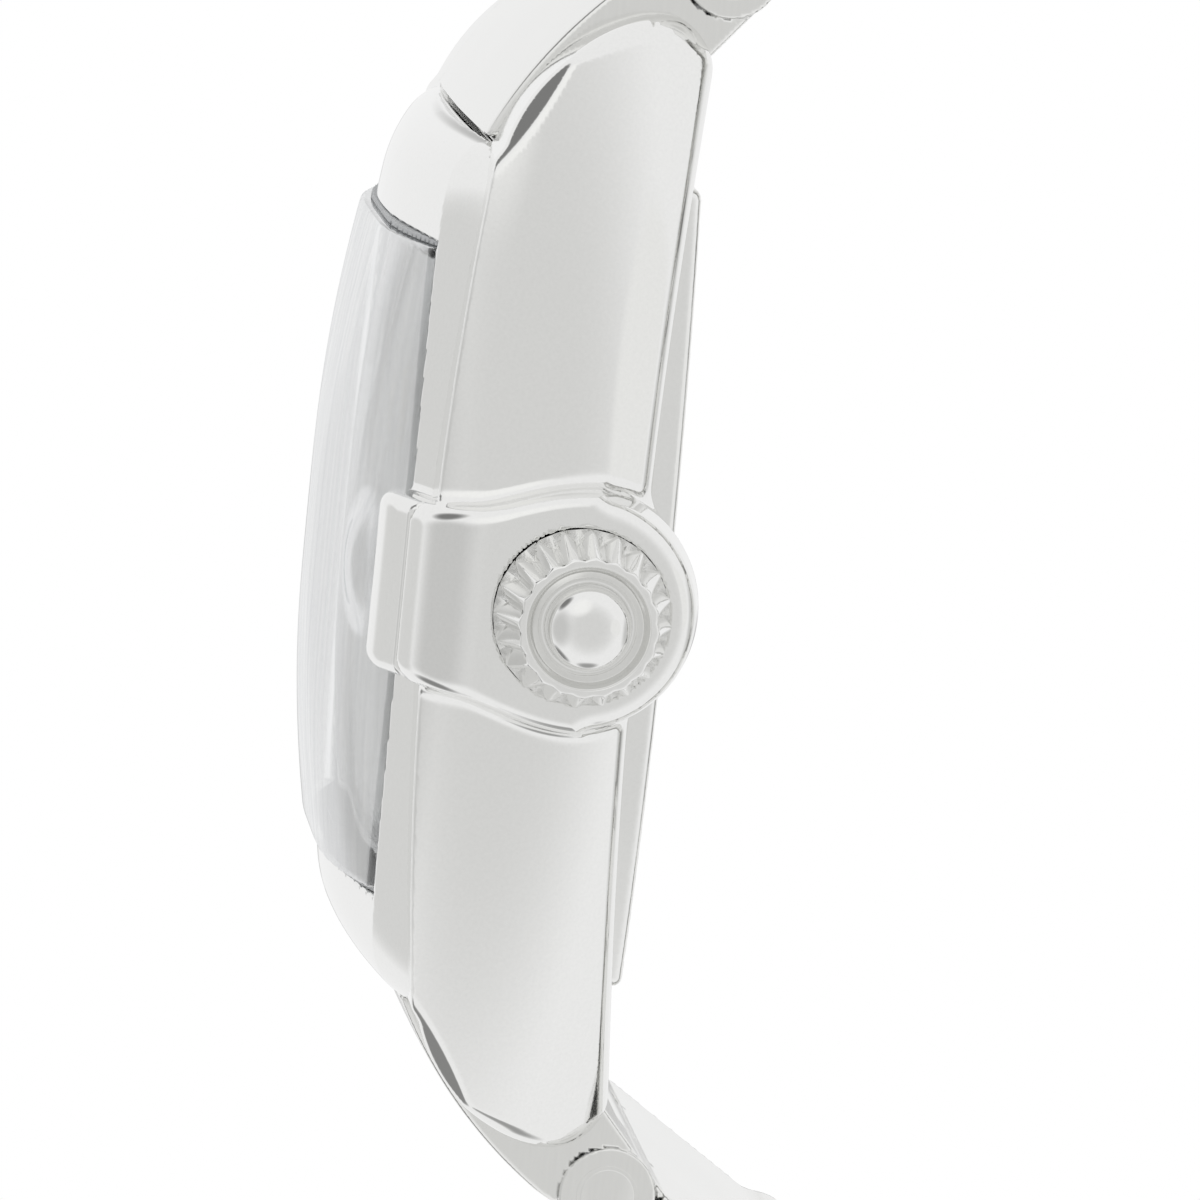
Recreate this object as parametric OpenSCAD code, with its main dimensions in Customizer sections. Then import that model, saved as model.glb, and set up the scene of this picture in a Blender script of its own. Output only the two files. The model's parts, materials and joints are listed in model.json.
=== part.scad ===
// Tonneau wrist watch on a closed link bracelet, built from separate parts.
// Watch axes: x to 3 o'clock, y to 12 o'clock, z out of the dial, origin on the case back.
// The watch lies on its 9 o'clock side: up is watch x, left is watch y, and the dial faces forward.

/* [Case] */
// Half width of the middle case, without the crown
case_half_w = 14.8; // [14.4:0.1:16]
// Radius of the long side arcs seen from the front
case_side_r = 42; // [40:1:60]
// Radius of the rounded flank
flank_r = 5.5; // [5.2:0.1:7]
// Height where the flank is widest
flank_mid_z = 4.9; // [4.5:0.1:5.3]
// Height of the seam under the bezel at the centre
seam_z = 7.5; // [7.4:0.1:7.8]
// Radius of the seam's arc seen from the side
seam_arc_r = 92; // [80:1:120]
// Height of the arched underside at the centre
under_z = 1.1; // [1:0.05:1.2]
// Radius of the arched underside
under_arc_r = 111; // [100:1:140]
// How far the lug tips reach past the case body
lug_len = 4.2; // [4:0.1:4.4]
// Height of the lug tips
lug_tip_z = 1.6; // [1.4:0.1:1.8]
// Radius of the rounded lug tips
lug_nose_r = 1.9; // [1.6:0.1:2]
// Radius of the lugs' curved top seen from the side
lug_crest_r = 6.2; // [6.1:0.02:6.3]
// How deep the flat facet cuts the outer edge of a lug
facet_depth = 0.28; // [0.2:0.02:0.32]
// Half width of the slot between the lugs
lug_inner_x = 9.05; // [8.6:0.05:9.4]
// Half length of the case body and the bezel
body_half_l = 13.1; // [13:0.1:13.4]

/* [Bezel and crystal] */
// Height of the ridge where the bezel's side band starts
band_z = 7.93; // [7.85:0.02:8.05]
// Height of the bezel's crest over the centre
bezel_crest_z = 9.45; // [9.3:0.05:9.6]
// Radius of the bezel's crest seen from the side
bezel_crest_r = 75; // [60:1:90]
// Width of the bezel outside the crystal's gasket
bezel_rim_w = 3.45; // [3.3:0.05:3.8]
// Half length of the crystal
crystal_half_l = 9.75; // [9.6:0.05:10]
// Height of the crystal's crest
crystal_crest_z = 10.05; // [9.9:0.05:10.2]
// Radius of the crystal's arc along the watch
crystal_long_r = 50.5; // [48:0.5:56]
// Radius of the crystal's arc across the watch
crystal_cross_r = 29.2; // [28.4:0.2:31]
// Thickness of the crystal
crystal_t = 1.2; // [1:0.05:1.3]
// Width of the crystal's gasket
gasket_w = 0.2; // [0.15:0.05:0.3]
// Distance from the centre to the date magnifier
lens_x = 7.45; // [7.3:0.05:7.6]
// Radius of the date magnifier
lens_r = 2.1; // [1.8:0.1:2.3]
// Half width of the bezel's lobe beside the magnifier
lobe_half_w = 2.65; // [2.5:0.05:2.8]

/* [Crown] */
// Height of the crown's axis
crown_z = 3.1; // [3.02:0.02:3.18]
// Radius of the crown over its teeth at the back
crown_r = 2.54; // [2.4:0.02:2.6]
// Radius of the crown's front disc
crown_front_r = 2.05; // [1.9:0.05:2.2]
// Number of teeth around the crown
crown_teeth = 20; // [16:1:24]
// How deep the back of the crown's teeth sits in the guard
crown_inset = 0.4; // [0.2:0.05:0.5]
// Length of the crown from its back to the front disc
crown_len = 3; // [2.8:0.1:3.2]
// Radius of the crown's polished dome
dome_r = 1.25; // [1.1:0.05:1.35]
// Radius of the round guard that carries the crown
pod_r = 3.65; // [3.55:0.05:3.8]
// How far the guard's face stands out from the case
pod_out = 1.3; // [1.15:0.05:1.4]
// How far the crown pulls out
crown_pull = 1.2; // [0.8:0.1:1.4]
// Radius of the stem
stem_r = 0.45; // [0.4:0.01:0.5]

/* [Case back] */
// Thickness of the case back's plate
back_t = 1.1; // [1:0.05:1.2]
// Width of the case body left outside the case back's ends
back_margin = 0.9; // [0.7:0.1:1.1]
// Radius of the case back's screw heads
back_screw_r = 0.7; // [0.6:0.05:0.8]

/* [Bracelet] */
// Radius of the circle that the hinge pins lie on
loop_r = 26; // [25:0.5:29]
// Distance from the case body's end to the first hinge pin
first_pin_out = 5.7; // [5.6:0.05:5.8]
// Radius of the end pieces' curved top seen from the side
end_crest_r = 15.3; // [15.2:0.05:15.4]
// Height of the first hinge pin
first_pin_z = -0.3; // [-0.4:0.05:-0.2]
// Links on the 12 o'clock side
links_a = 6; // [6:1:6]
// Links on the 6 o'clock side
links_b = 8; // [8:1:8]
// Radius of the hinge barrels
barrel_r = 1.5; // [1.4:0.05:1.6]
// Radius of the hinge pins
pin_r = 0.6; // [0.5:0.05:0.7]
// Half thickness of a link's plate
plate_half_t = 1.15; // [1:0.05:1.2]
// Half length of the middle knuckles
knuckle_half = 4.2; // [3.8:0.1:4.6]
// Half width of the links at the clasp
clasp_half_w = 7.5; // [7:0.1:8]
// Distance between the two end pins of the bracelet where they meet
meeting_gap = 3.3; // [3.25:0.05:3.6]
// Thickness of the clasp blades
blade_t = 0.8; // [0.6:0.05:0.8]
// Radius of the barrels between the clasp blades
blade_barrel_r = 0.95; // [0.9:0.01:0.95]

/* [Movement] */
// Thinnest width of the holder around the movement
ring_wall = 1.95; // [1.85:0.05:2.05]
// Tooth size of the train, as pitch diameter over tooth count
tooth_size = 0.075; // [0.072:0.001:0.076]
// Tooth size of the second hand's wheel and of the pinion that drives it
drive_tooth = 0.0875; // [0.086:0.0005:0.088]
// Radius of the battery
battery_r = 3.2; // [3:0.05:3.2]
// Height of the dial's underside
dial_z = 5.35; // [5.35:0.01:5.38]
// Thickness of the dial
dial_t = 0.3; // [0.25:0.01:0.32]
// Length of the hour hand from the centre
hour_hand_len = 4.6; // [4:0.1:5]
// Length of the minute hand from the centre
minute_hand_len = 7.2; // [6.6:0.1:7.8]
// Length of the second hand from the centre
second_hand_len = 7.6; // [7:0.1:8]
// Length of the second hand's tail
second_tail_len = 2.2; // [1.8:0.1:2.6]

/* [Fits] */
// Radial clearance of running fits
run = 0.05; // [0.03:0.01:0.06]
// Clearance between parts that pass each other
gap = 0.1; // [0.08:0.01:0.12]

/* [Hidden] */
$fn = 96;
big_fn = 180;
eps = 0.01;

steel = [0.78, 0.79, 0.80];
dark_steel = [0.6, 0.61, 0.62];
brass = [0.80, 0.68, 0.40];
black = [0.12, 0.12, 0.13];

// Case derived sizes
bezel_half_w = case_half_w - 0.4;
crystal_half_w = bezel_half_w - bezel_rim_w - gasket_w;
pocket_half_w = crystal_half_w + gasket_w;
pocket_half_l = crystal_half_l + gasket_w;
seat_z = seam_z - 0.2;
lobe_seam_z = seam_z + 0.68;
ridge_w = pocket_half_w + 0.35;
flange_half_w = crystal_half_w - 1.05;
flange_half_l = crystal_half_l - 0.95;
opening_half_w = pocket_half_w + 0.3;
opening_half_l = pocket_half_l + 0.55;
opening_r = case_side_r - (case_half_w - opening_half_w);
dial_top = dial_z + dial_t;
back_half_w = case_half_w - 3.2;
flank_centre_x = case_side_r - case_half_w;
back_half_l = body_half_l - back_margin;
lug_tip_y = body_half_l + lug_len;
lug_crest_at = [body_half_l - 1.8, 0.4];
first_pin_y = body_half_l + first_pin_out;
plateau_top = back_t + 0.5;
back_inset = 0.35;
screw_x = back_half_w - 2.3;
screw_y = back_half_l - 0.95;
end_piece_half_w = lug_inner_x - gap;
bar_y = body_half_l + 2.4;
bar_z = lug_tip_z;
bar_r = 0.5;

// Crown derived sizes
tube_r = 1.1;
tube_bore_r = 0.85;
pod_x = case_half_w + pod_out;
crown_x = pod_x - crown_inset;
tube_end = crown_x + 0.5;
recess_r = crown_r + 0.2;
recess_x = crown_x - 0.25;
crown_front_x = crown_x + crown_len;
stem_inner_x = 5.7;

// Bracelet derived sizes: the pins of all links share one circle around loop_z
loop_z = first_pin_z - sqrt(loop_r * loop_r - first_pin_y * first_pin_y);
start_angle = acos(first_pin_y / loop_r);
meeting_angle = 2 * asin(meeting_gap / 2 / loop_r);
link_turn = (180 + 2 * start_angle - meeting_angle) / (links_a + links_b);
link_pitch = 2 * loop_r * sin(link_turn / 2);
link_inner_r = loop_r - barrel_r;
blade_gap = 0.2;
outer_blade_top = link_inner_r - blade_gap;
inner_blade_top = outer_blade_top - blade_t - blade_gap;
blade_pin_at = outer_blade_top - blade_t - blade_gap / 2;
blade_half_w = knuckle_half - gap / 2;
blade_knuckle_half = 2;
blade_span = 2 * link_turn;
blade_pin_r = 0.45;
end_a_angle = start_angle - links_a * link_turn;
end_b_angle = end_a_angle - meeting_angle;
hinge_b_angle = end_b_angle - blade_span;
catch_angle = end_b_angle - 1.2 * link_turn;

// Layers of the train, each from its low to its high face
step_pinion_z = [2.5, 2.9];
seconds_wheel_z = [2.6, 2.8];
seconds_pinion_z = [2.8, 3.15];
third_wheel_z = [2.92, 3.08];
rotor_pinion_z = [3, 3.5];
step_wheel_z = [3.2, 3.35];
third_pinion_z = [3.25, 3.75];
centre_wheel_z = [3.5, 3.7];
cannon_z = [4.75, 5];
minute_wheel_z = [4.78, 4.93];
minute_pinion_z = [4.93, 5.25];
hour_wheel_z = [5.05, 5.2];

// Movement derived sizes, heights from the back to the dial
bridge_z = 1.95;
bridge_t = 0.45;
train_z = bridge_z + bridge_t;
plate_z = 3.9;
plate_top = 4.7;
ring_half_w = opening_half_w - gap;
ring_half_l = opening_half_l - gap;
plate_r = ring_half_w - ring_wall;
rotor_leaves = 8;
step_teeth = 48;
step_leaves = 10;
seconds_teeth = 50;
seconds_leaves = 8;
third_teeth = 60;
third_leaves = 8;
centre_teeth = 64;
cannon_leaves = 12;
minute_teeth = 36;
minute_leaves = 10;
hour_teeth = 40;
third_span = (seconds_leaves + third_teeth) / 2 * tooth_size;
step_span = (step_leaves + seconds_teeth) / 2 * drive_tooth;
rotor_span = (rotor_leaves + step_teeth) / 2 * tooth_size;
minute_span = 2.4;
centre_tooth = 2 * third_span / (third_leaves + centre_teeth);
cannon_tooth = 2 * minute_span / (cannon_leaves + minute_teeth);
hour_tooth = 2 * minute_span / (minute_leaves + hour_teeth);
third_dir = -60;
step_dir = 90;
rotor_dir = 150;
minute_dir = 30;
third_at = third_span * [cos(third_dir), sin(third_dir)];
step_at = step_span * [cos(step_dir), sin(step_dir)];
rotor_at = step_at + rotor_span * [cos(rotor_dir), sin(rotor_dir)];
minute_at = minute_span * [cos(minute_dir), sin(minute_dir)];
battery_dir = 205.25;
battery_at = (plate_r - battery_r - 0.14) * [cos(battery_dir), sin(battery_dir)];
battery_base = 2.2;
pillars = [[3.4, 1.9], [-3.7, 1.25], [2.6, -5.6], [-1.5, -4.9]];
pillar_r = 0.6;
pivot_r = 0.12;
seconds_arbor_r = 0.15;
centre_tube_r = 0.4;
hour_tube_r = 0.65;
coil_at = [-1.6, 6.6];
coil_half = 2.6;
core_half = 3.6;
coil_z = 3.25;
coil_r = 0.6;
core_r = 0.3;
magnet_r = 0.8;
stator_z = 2.42;
stator_t = 0.2;
board_z = 2.75;
date_outer_r = plate_r - 0.9;
date_inner_r = date_outer_r - 1.6;
hour_hand_z = dial_top + 0.25;
minute_hand_z = hour_hand_z + 0.35;
second_hand_z = minute_hand_z + 0.35;

// Turns watch axes into the frame of the record
module in_row() {
    rotate([90, -90, 0]) children();
}

// Points on an arc, for outlines
function arc(centre, r, from, to, steps) =
    [for (i = [0:steps]) let (a = from + (to - from) * i / steps) centre + r * [cos(a), sin(a)]];

// Outline with two long arcs and straight ends
module tonneau(half_w, half_l, side_r) {
    intersection() {
        translate([half_w - side_r, 0]) circle(r = side_r, $fn = big_fn);
        translate([side_r - half_w, 0]) circle(r = side_r, $fn = big_fn);
        square([2 * half_w, 2 * half_l], center = true);
    }
}

// Plate with a tonneau outline
module tonneau_plate(half_w, half_l, z_low, z_high) {
    translate([0, 0, z_low])
        linear_extrude(z_high - z_low)
            tonneau(half_w, half_l, case_side_r - (case_half_w - half_w));
}

// Solid whose two long sides both carry the same turned rim, drawn as [x, z] at the middle
module rimmed(half_w, side_r) {
    intersection() {
        translate([half_w - side_r, 0, 0]) rotate_extrude($fn = big_fn) turned_rim(half_w, side_r) children();
        translate([side_r - half_w, 0, 0]) rotate_extrude($fn = big_fn) turned_rim(half_w, side_r) children();
    }
}

module turned_rim(half_w, side_r) {
    intersection() {
        translate([side_r - half_w, 0]) children();
        translate([0, -50]) square([side_r + 10, 100]);
    }
}

// Extrudes an outline drawn as [y, z] along x
module side_extrude(from, to) {
    translate([from, 0, 0]) rotate([90, 0, 90]) linear_extrude(to - from) children();
}

// Extrudes an outline drawn as [x, z] along y
module front_extrude(half_l) {
    rotate([90, 0, 0]) linear_extrude(2 * half_l, center = true) children();
}

// Round bar along x
module bar_x(from, to, r, y = 0, z = 0) {
    translate([from, y, z]) rotate([0, 90, 0]) cylinder(r = r, h = to - from);
}

// Straight strip between two points of a plan
module strip(a, b, w) {
    d = b - a;
    translate(a) rotate(atan2(d[1], d[0])) translate([0, -w / 2]) square([norm(d), w]);
}

// Seam arc between the middle case and the bezel, as the region below it
module below_seam() {
    translate([0, seam_z - seam_arc_r]) circle(r = seam_arc_r, $fn = big_fn);
}

module both_ends() {
    children();
    mirror([0, 1, 0]) children();
}

module both_sides() {
    children();
    mirror([1, 0, 0]) children();
}

// Middle case: side outline with the lugs' noses, arched below and cut by the seam above
module case_side() {
    nose_y = lug_tip_y - lug_nose_r;
    difference() {
        union() {
            intersection() {
                square([2 * body_half_l, 3 * seam_z], center = true);
                below_seam();
            }
            both_sides() {
                polygon(concat(
                    [[body_half_l - 1, -1], [body_half_l - 1, 6.5], [body_half_l, 6.5]],
                    arc(lug_crest_at, lug_crest_r, 73, 18, 10),
                    arc([nose_y, lug_tip_z], lug_nose_r, 15, -90, 12)
                ));
            }
        }
        translate([0, under_z - under_arc_r]) circle(r = under_arc_r, $fn = big_fn);
    }
}

module flank_rim() {
    intersection() {
        translate([case_half_w - flank_r, flank_mid_z]) circle(r = flank_r);
        translate([case_half_w - flank_r, -1]) square([flank_r, 10]);
    }
    translate([-60, -2]) square([60 + case_half_w - flank_r, 12]);
}

// Crown guard seen along x: a round pod with a neck up to the bezel
module pod_outline() {
    neck_z = seam_z + 1.3;
    translate([0, crown_z]) circle(r = pod_r);
    polygon([
        [-lobe_half_w, neck_z], [-lobe_half_w - 0.25, crown_z + 3.1], [-pod_r + 0.5, crown_z + 1.8],
        [-pod_r + 0.1, crown_z], [pod_r - 0.1, crown_z], [pod_r - 0.5, crown_z + 1.8],
        [lobe_half_w + 0.25, crown_z + 3.1], [lobe_half_w, neck_z]
    ]);
}

module pod() {
    root_x = opening_half_w + 0.6;
    lobe_end = lobe_face_x();
    pod_low = crown_z - pod_r;
    pod_high = crown_z + pod_r;
    edge = 0.4;
    intersection() {
        side_extrude(root_x, pod_x) pod_outline();
        front_extrude(pod_r + 1) polygon([
            [root_x, -2], [case_half_w - 0.6, pod_low], [pod_x - edge, pod_low],
            [pod_x, pod_low + edge], [pod_x, pod_high - 1.15], [pod_x - edge, pod_high - 0.15],
            [case_half_w, seam_z + 0.25], [lobe_end, lobe_seam_z], [lobe_end, seam_z - 0.3],
            [root_x, seam_z - 0.3]
        ]);
    }
}

function lobe_face_x() = case_half_w - 1.2;

module case_middle() {
    color(steel) in_row() difference() {
        union() {
            intersection() {
                rimmed(case_half_w, case_side_r) flank_rim();
                side_extrude(-case_half_w, case_half_w) case_side();
            }
            pod();
        }
        tonneau_plate(opening_half_w, opening_half_l, under_z - 1.2, seam_z + 1);
        tonneau_plate(back_half_w + run, back_half_l + run, -2, back_t);
        both_ends() lug_slot();
        bar_x(opening_half_w - 2, pod_x + 1, tube_r, 0, crown_z);
        bar_x(recess_x, pod_x + 1, recess_r, 0, crown_z);
        both_ends() bar_x(-lug_inner_x - 1.2, lug_inner_x + 1.2, bar_r, bar_y, bar_z);
        both_ends() both_sides() screw_hole();
        both_ends() both_sides() lug_facet();
    }
}

// Half space beyond the flat facet on the edge between a lug's crest and the flank
module lug_facet() {
    y = lug_crest_at[0] + lug_crest_r * 0.54;
    z = lug_crest_at[1] + lug_crest_r * 0.842;
    flank_w = case_half_w - flank_r + sqrt(pow(flank_r, 2) - pow(z - flank_mid_z, 2));
    x = sqrt(pow(flank_w + flank_centre_x, 2) - y * y) - flank_centre_x;
    translate([x, y, z]) rotate([0, 52.8, 43.6]) translate([-3, -3, -facet_depth]) cube([6, 6, 3]);
}

module lug_slot() {
    translate([-lug_inner_x, body_half_l, -3]) cube([2 * lug_inner_x, 8, 14]);
}

module screw_hole() {
    translate([screw_x, screw_y, 0]) cylinder(r = 0.4, h = 3.2);
}

// Bezel: crest seen from the side, falling over both ends
module bezel_side() {
    end_r = 3;
    fall_y = body_half_l - 2.2;
    tangent = asin(fall_y / bezel_crest_r);
    crest_end = [fall_y, bezel_crest_z - bezel_crest_r * (1 - cos(tangent))];
    end_centre = crest_end - end_r * [sin(tangent), cos(tangent)];
    end_angle = acos((body_half_l - end_centre[0]) / end_r);
    crest = arc([0, bezel_crest_z - bezel_crest_r], bezel_crest_r, 90 - tangent, 90 + tangent, 16);
    right = arc(end_centre, end_r, end_angle, 90 - tangent, 8);
    left = arc([-end_centre[0], end_centre[1]], end_r, 90 + tangent, 180 - end_angle, 8);
    polygon(concat([[body_half_l, dial_top]], right, crest, left, [[-body_half_l, dial_top]]));
}

module bezel_rim() {
    inner = pocket_half_w - 0.15;
    band_mid = (bezel_half_w + ridge_w) / 2;
    polygon([
        [-60, dial_top], [bezel_half_w, dial_top], [bezel_half_w, seam_z - 0.03],
        [band_mid, (band_z + seam_z) / 2 + 0.07], [ridge_w, band_z], [inner, band_z + 0.1],
        [inner - 1.8, band_z + 0.62], [inner - 4.3, band_z + 1.25], [inner - 6.8, bezel_crest_z + 0.1],
        [-60, bezel_crest_z + 0.1]
    ]);
}

module lobe() {
    end_x = lobe_face_x() - run;
    intersection() {
        front_extrude(lobe_half_w) polygon([
            [pocket_half_w - 0.4, seam_z - 0.5], [pocket_half_w - 0.4, band_z + 0.9],
            [pocket_half_w + 1.1, band_z + 1.02], [end_x, lobe_seam_z + 0.05], [end_x, seam_z - 0.5]
        ]);
        translate([end_x - lobe_half_w - 1.2, 0, 0]) cylinder(r = lobe_half_w + 1.2, h = 12);
    }
}

module bezel() {
    color(steel) in_row() difference() {
        union() {
            intersection() {
                rimmed(bezel_half_w, case_side_r - 0.4) bezel_rim();
                side_extrude(-bezel_half_w, bezel_half_w) bezel_side();
            }
            lobe();
        }
        seam_cut();
        tonneau_plate(pocket_half_w, pocket_half_l, seat_z, 12);
        tonneau_plate(flange_half_w, flange_half_l, 0, 12);
        pod_clearance();
    }
}

// What lies under the seam outside the skirt is the middle case
module seam_cut() {
    difference() {
        side_extrude(-20, 20) below_seam();
        tonneau_plate(opening_half_w - run, opening_half_l - run, dial_top, 12);
    }
}

module pod_clearance() {
    translate([lobe_face_x() - run, -5, 0]) intersection() {
        cube([5, 10, 12]);
        translate([0, 5, 0]) side_extrude(0, 5) offset(delta = run) pod_outline();
    }
}

// Crystal: one arc along the watch, one that falls to both long sides, with the date magnifier on top
module crystal_form(drop, half_w, half_l) {
    crest = crystal_crest_z - drop;
    intersection() {
        side_extrude(-half_w, half_w) translate([0, crest - crystal_long_r]) circle(r = crystal_long_r, $fn = big_fn);
        rimmed(half_w, case_side_r - (case_half_w - half_w)) {
            intersection() {
                translate([0, crest - crystal_cross_r]) circle(r = crystal_cross_r, $fn = big_fn);
                translate([-0.5, seat_z]) square([half_w + 0.5, crest]);
            }
            translate([-60, seat_z]) square([59.7, crest - seat_z + 1]);
        }
        tonneau_plate(half_w, half_l, seat_z, crest + 1);
    }
}

module crystal() {
    dome_rise = 0.55;
    lens_base = crystal_crest_z - lens_x * lens_x / 2 / crystal_cross_r;
    dome_sphere = (lens_r * lens_r + dome_rise * dome_rise) / 2 / dome_rise;
    color([0.85, 0.9, 0.95, 0.5]) in_row() difference() {
        union() {
            crystal_form(0, crystal_half_w, crystal_half_l);
            intersection() {
                translate([lens_x, 0, lens_base + dome_rise - dome_sphere - 0.2]) sphere(r = dome_sphere);
                tonneau_plate(crystal_half_w, crystal_half_l, lens_base - 1, crystal_crest_z + 2);
            }
        }
        translate([0, 0, -eps]) crystal_form(crystal_t, crystal_half_w - 0.5, crystal_half_l - 0.5);
    }
}

module crystal_gasket() {
    color(black) in_row() difference() {
        intersection() {
            tonneau_plate(pocket_half_w, pocket_half_l, seat_z, 12);
            crystal_form(0.25, pocket_half_w, pocket_half_l);
        }
        tonneau_plate(crystal_half_w, crystal_half_l, 0, 12);
    }
}

// Case back: plate outside, plateau inside with the gasket's groove
module case_back() {
    plateau_half_w = opening_half_w - back_inset;
    plateau_half_l = opening_half_l - back_inset;
    color(steel) in_row() difference() {
        union() {
            tonneau_plate(back_half_w, back_half_l, 0, back_t);
            tonneau_plate(plateau_half_w, plateau_half_l, back_t - eps, plateau_top);
        }
        both_ends() both_sides() translate([screw_x, screw_y, -1]) cylinder(r = 0.42, h = 3);
        both_ends() both_sides() translate([screw_x, screw_y, -1]) cylinder(r = back_screw_r + run, h = 1.45);
        difference() {
            tonneau_plate(back_half_w - 1.2, back_half_l - 2.6, -1, 0.12);
            tonneau_plate(back_half_w - 1.4, back_half_l - 2.8, -2, 1);
        }
    }
}

module back_gasket() {
    color(black) in_row() difference() {
        tonneau_plate(opening_half_w - eps, opening_half_l - eps, back_t, back_t + 0.3);
        tonneau_plate(opening_half_w - back_inset, opening_half_l - back_inset, 0, 3);
    }
}

module back_screws() {
    color(dark_steel) in_row() both_ends() both_sides() translate([screw_x, screw_y, 0]) difference() {
        union() {
            translate([0, 0, 0.1]) cylinder(r = back_screw_r, h = 0.35);
            translate([0, 0, 0.4]) cylinder(r = 0.4, h = 2.6);
        }
        translate([-1, -0.1, -1]) cube([2, 0.2, 1.25]);
    }
}

// Dial with its date window, centre hole and applied hour markers
module dial() {
    color([0.9, 0.9, 0.88]) in_row() difference() {
        tonneau_plate(flange_half_w + 0.5, flange_half_l + 0.5, dial_z, dial_top);
        cylinder(r = hour_tube_r + 0.1, h = 10);
        translate([lens_x - 0.75, -0.6, 0]) cube([1.5, 1.2, 10]);
    }
}

module hour_markers() {
    marker_in = 1.15;
    color(dark_steel) in_row() for (hour = [1:12]) if (hour != 3) {
        a = 90 - 30 * hour;
        reach = min(
            (flange_half_w - 1.2) / max(abs(cos(a)), eps),
            (flange_half_l - 0.7) / max(abs(sin(a)), eps),
            9.2
        );
        rotate(a) translate([reach - marker_in, -0.16, dial_top]) cube([marker_in, 0.32, 0.18]);
    }
}

// Hands: flat leaf outlines on round bosses
module hand(length, tail, w, z, t, bore, boss) {
    difference() {
        union() {
            translate([0, 0, z]) linear_extrude(t) polygon([
                [-tail, -w * 0.3], [0, -w * 0.42], [length * 0.55, -w / 2], [length, -0.04],
                [length, 0.04], [length * 0.55, w / 2], [0, w * 0.42], [-tail, w * 0.3]
            ]);
            translate([0, 0, z]) cylinder(r = boss, h = t);
        }
        translate([0, 0, z - 1]) cylinder(r = bore, h = 3);
    }
}

module hour_hand() {
    color(dark_steel) in_row() rotate(-215) rotate(90)
        hand(hour_hand_len, 1, 0.95, hour_hand_z, 0.15, hour_tube_r, 0.95);
}

module minute_hand() {
    color(dark_steel) in_row() rotate(-60) rotate(90)
        hand(minute_hand_len, 1.3, 0.75, minute_hand_z, 0.15, centre_tube_r, 0.7);
}

module second_hand() {
    color(dark_steel) in_row() rotate(-250) rotate(90)
        hand(second_hand_len, second_tail_len, 0.2, second_hand_z, 0.1, seconds_arbor_r, 0.45);
}

// Crown: toothed cone, grooved front disc and a polished dome
function crown_rim(r, depth) =
    [for (i = [0:crown_teeth - 1]) for (c = [[-0.5, 0], [-0.15, depth], [0.15, depth]])
        let (a = (i + c[0]) * 360 / crown_teeth) (r - depth + c[1]) * [cos(a), sin(a)]];

module crown() {
    depth = 0.3;
    skirt_len = 1.3;
    dome_rise = 0.85;
    dome_base = crown_front_x - 0.15;
    dome_sphere = (dome_r * dome_r + dome_rise * dome_rise) / 2 / dome_rise;
    color(steel) in_row() translate([0, 0, crown_z]) rotate([0, 90, 0]) difference() {
        union() {
            intersection() {
                translate([0, 0, crown_x]) linear_extrude(crown_len) polygon(crown_rim(crown_r, depth));
                translate([0, 0, crown_x]) rotate_extrude() polygon([
                    [0, 0], [crown_r - 0.2, 0], [crown_r, 0.2], [crown_r, skirt_len],
                    [crown_front_r + 0.12, crown_len - 0.15], [crown_front_r - 0.05, crown_len], [0, crown_len]
                ]);
            }
            translate([0, 0, crown_x]) cylinder(r = crown_r - depth, h = skirt_len);
            translate([0, 0, crown_x]) cylinder(r = crown_front_r - 0.1, h = crown_len);
            intersection() {
                translate([0, 0, dome_base + dome_rise - dome_sphere]) sphere(r = dome_sphere);
                translate([0, 0, dome_base - 0.5]) cylinder(r = dome_r, h = 2);
            }
        }
        translate([0, 0, crown_front_x - 0.2]) difference() {
            cylinder(r = dome_r + 0.45, h = 1);
            translate([0, 0, -1]) cylinder(r = dome_r, h = 4);
        }
        translate([0, 0, crown_x - 1]) cylinder(r = tube_r + gap, h = tube_end - crown_x + 1 + gap);
        cylinder(r = stem_r, h = tube_end + 1);
    }
}

module crown_stem() {
    color(dark_steel) in_row() {
        bar_x(stem_inner_x, tube_end + 1, stem_r, 0, crown_z);
    }
}

module crown_gasket() {
    color(black) in_row() difference() {
        bar_x(opening_half_w + 1.7, opening_half_w + 2.5, tube_bore_r - run, 0, crown_z);
        bar_x(0, 30, stem_r + run, 0, crown_z);
    }
}

module crown_tube() {
    color(steel) in_row() difference() {
        bar_x(opening_half_w + 0.1, tube_end, tube_r, 0, crown_z);
        bar_x(0, 30, tube_bore_r, 0, crown_z);
    }
}

// Movement holder between the case wall and the movement
module movement_ring() {
    color([0.9, 0.9, 0.88]) in_row() difference() {
        tonneau_plate(ring_half_w, ring_half_l, plateau_top, dial_z);
        cylinder(r = plate_r, h = 12);
        bar_x(0, 30, stem_r + 0.15, 0, crown_z);
    }
}

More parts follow.
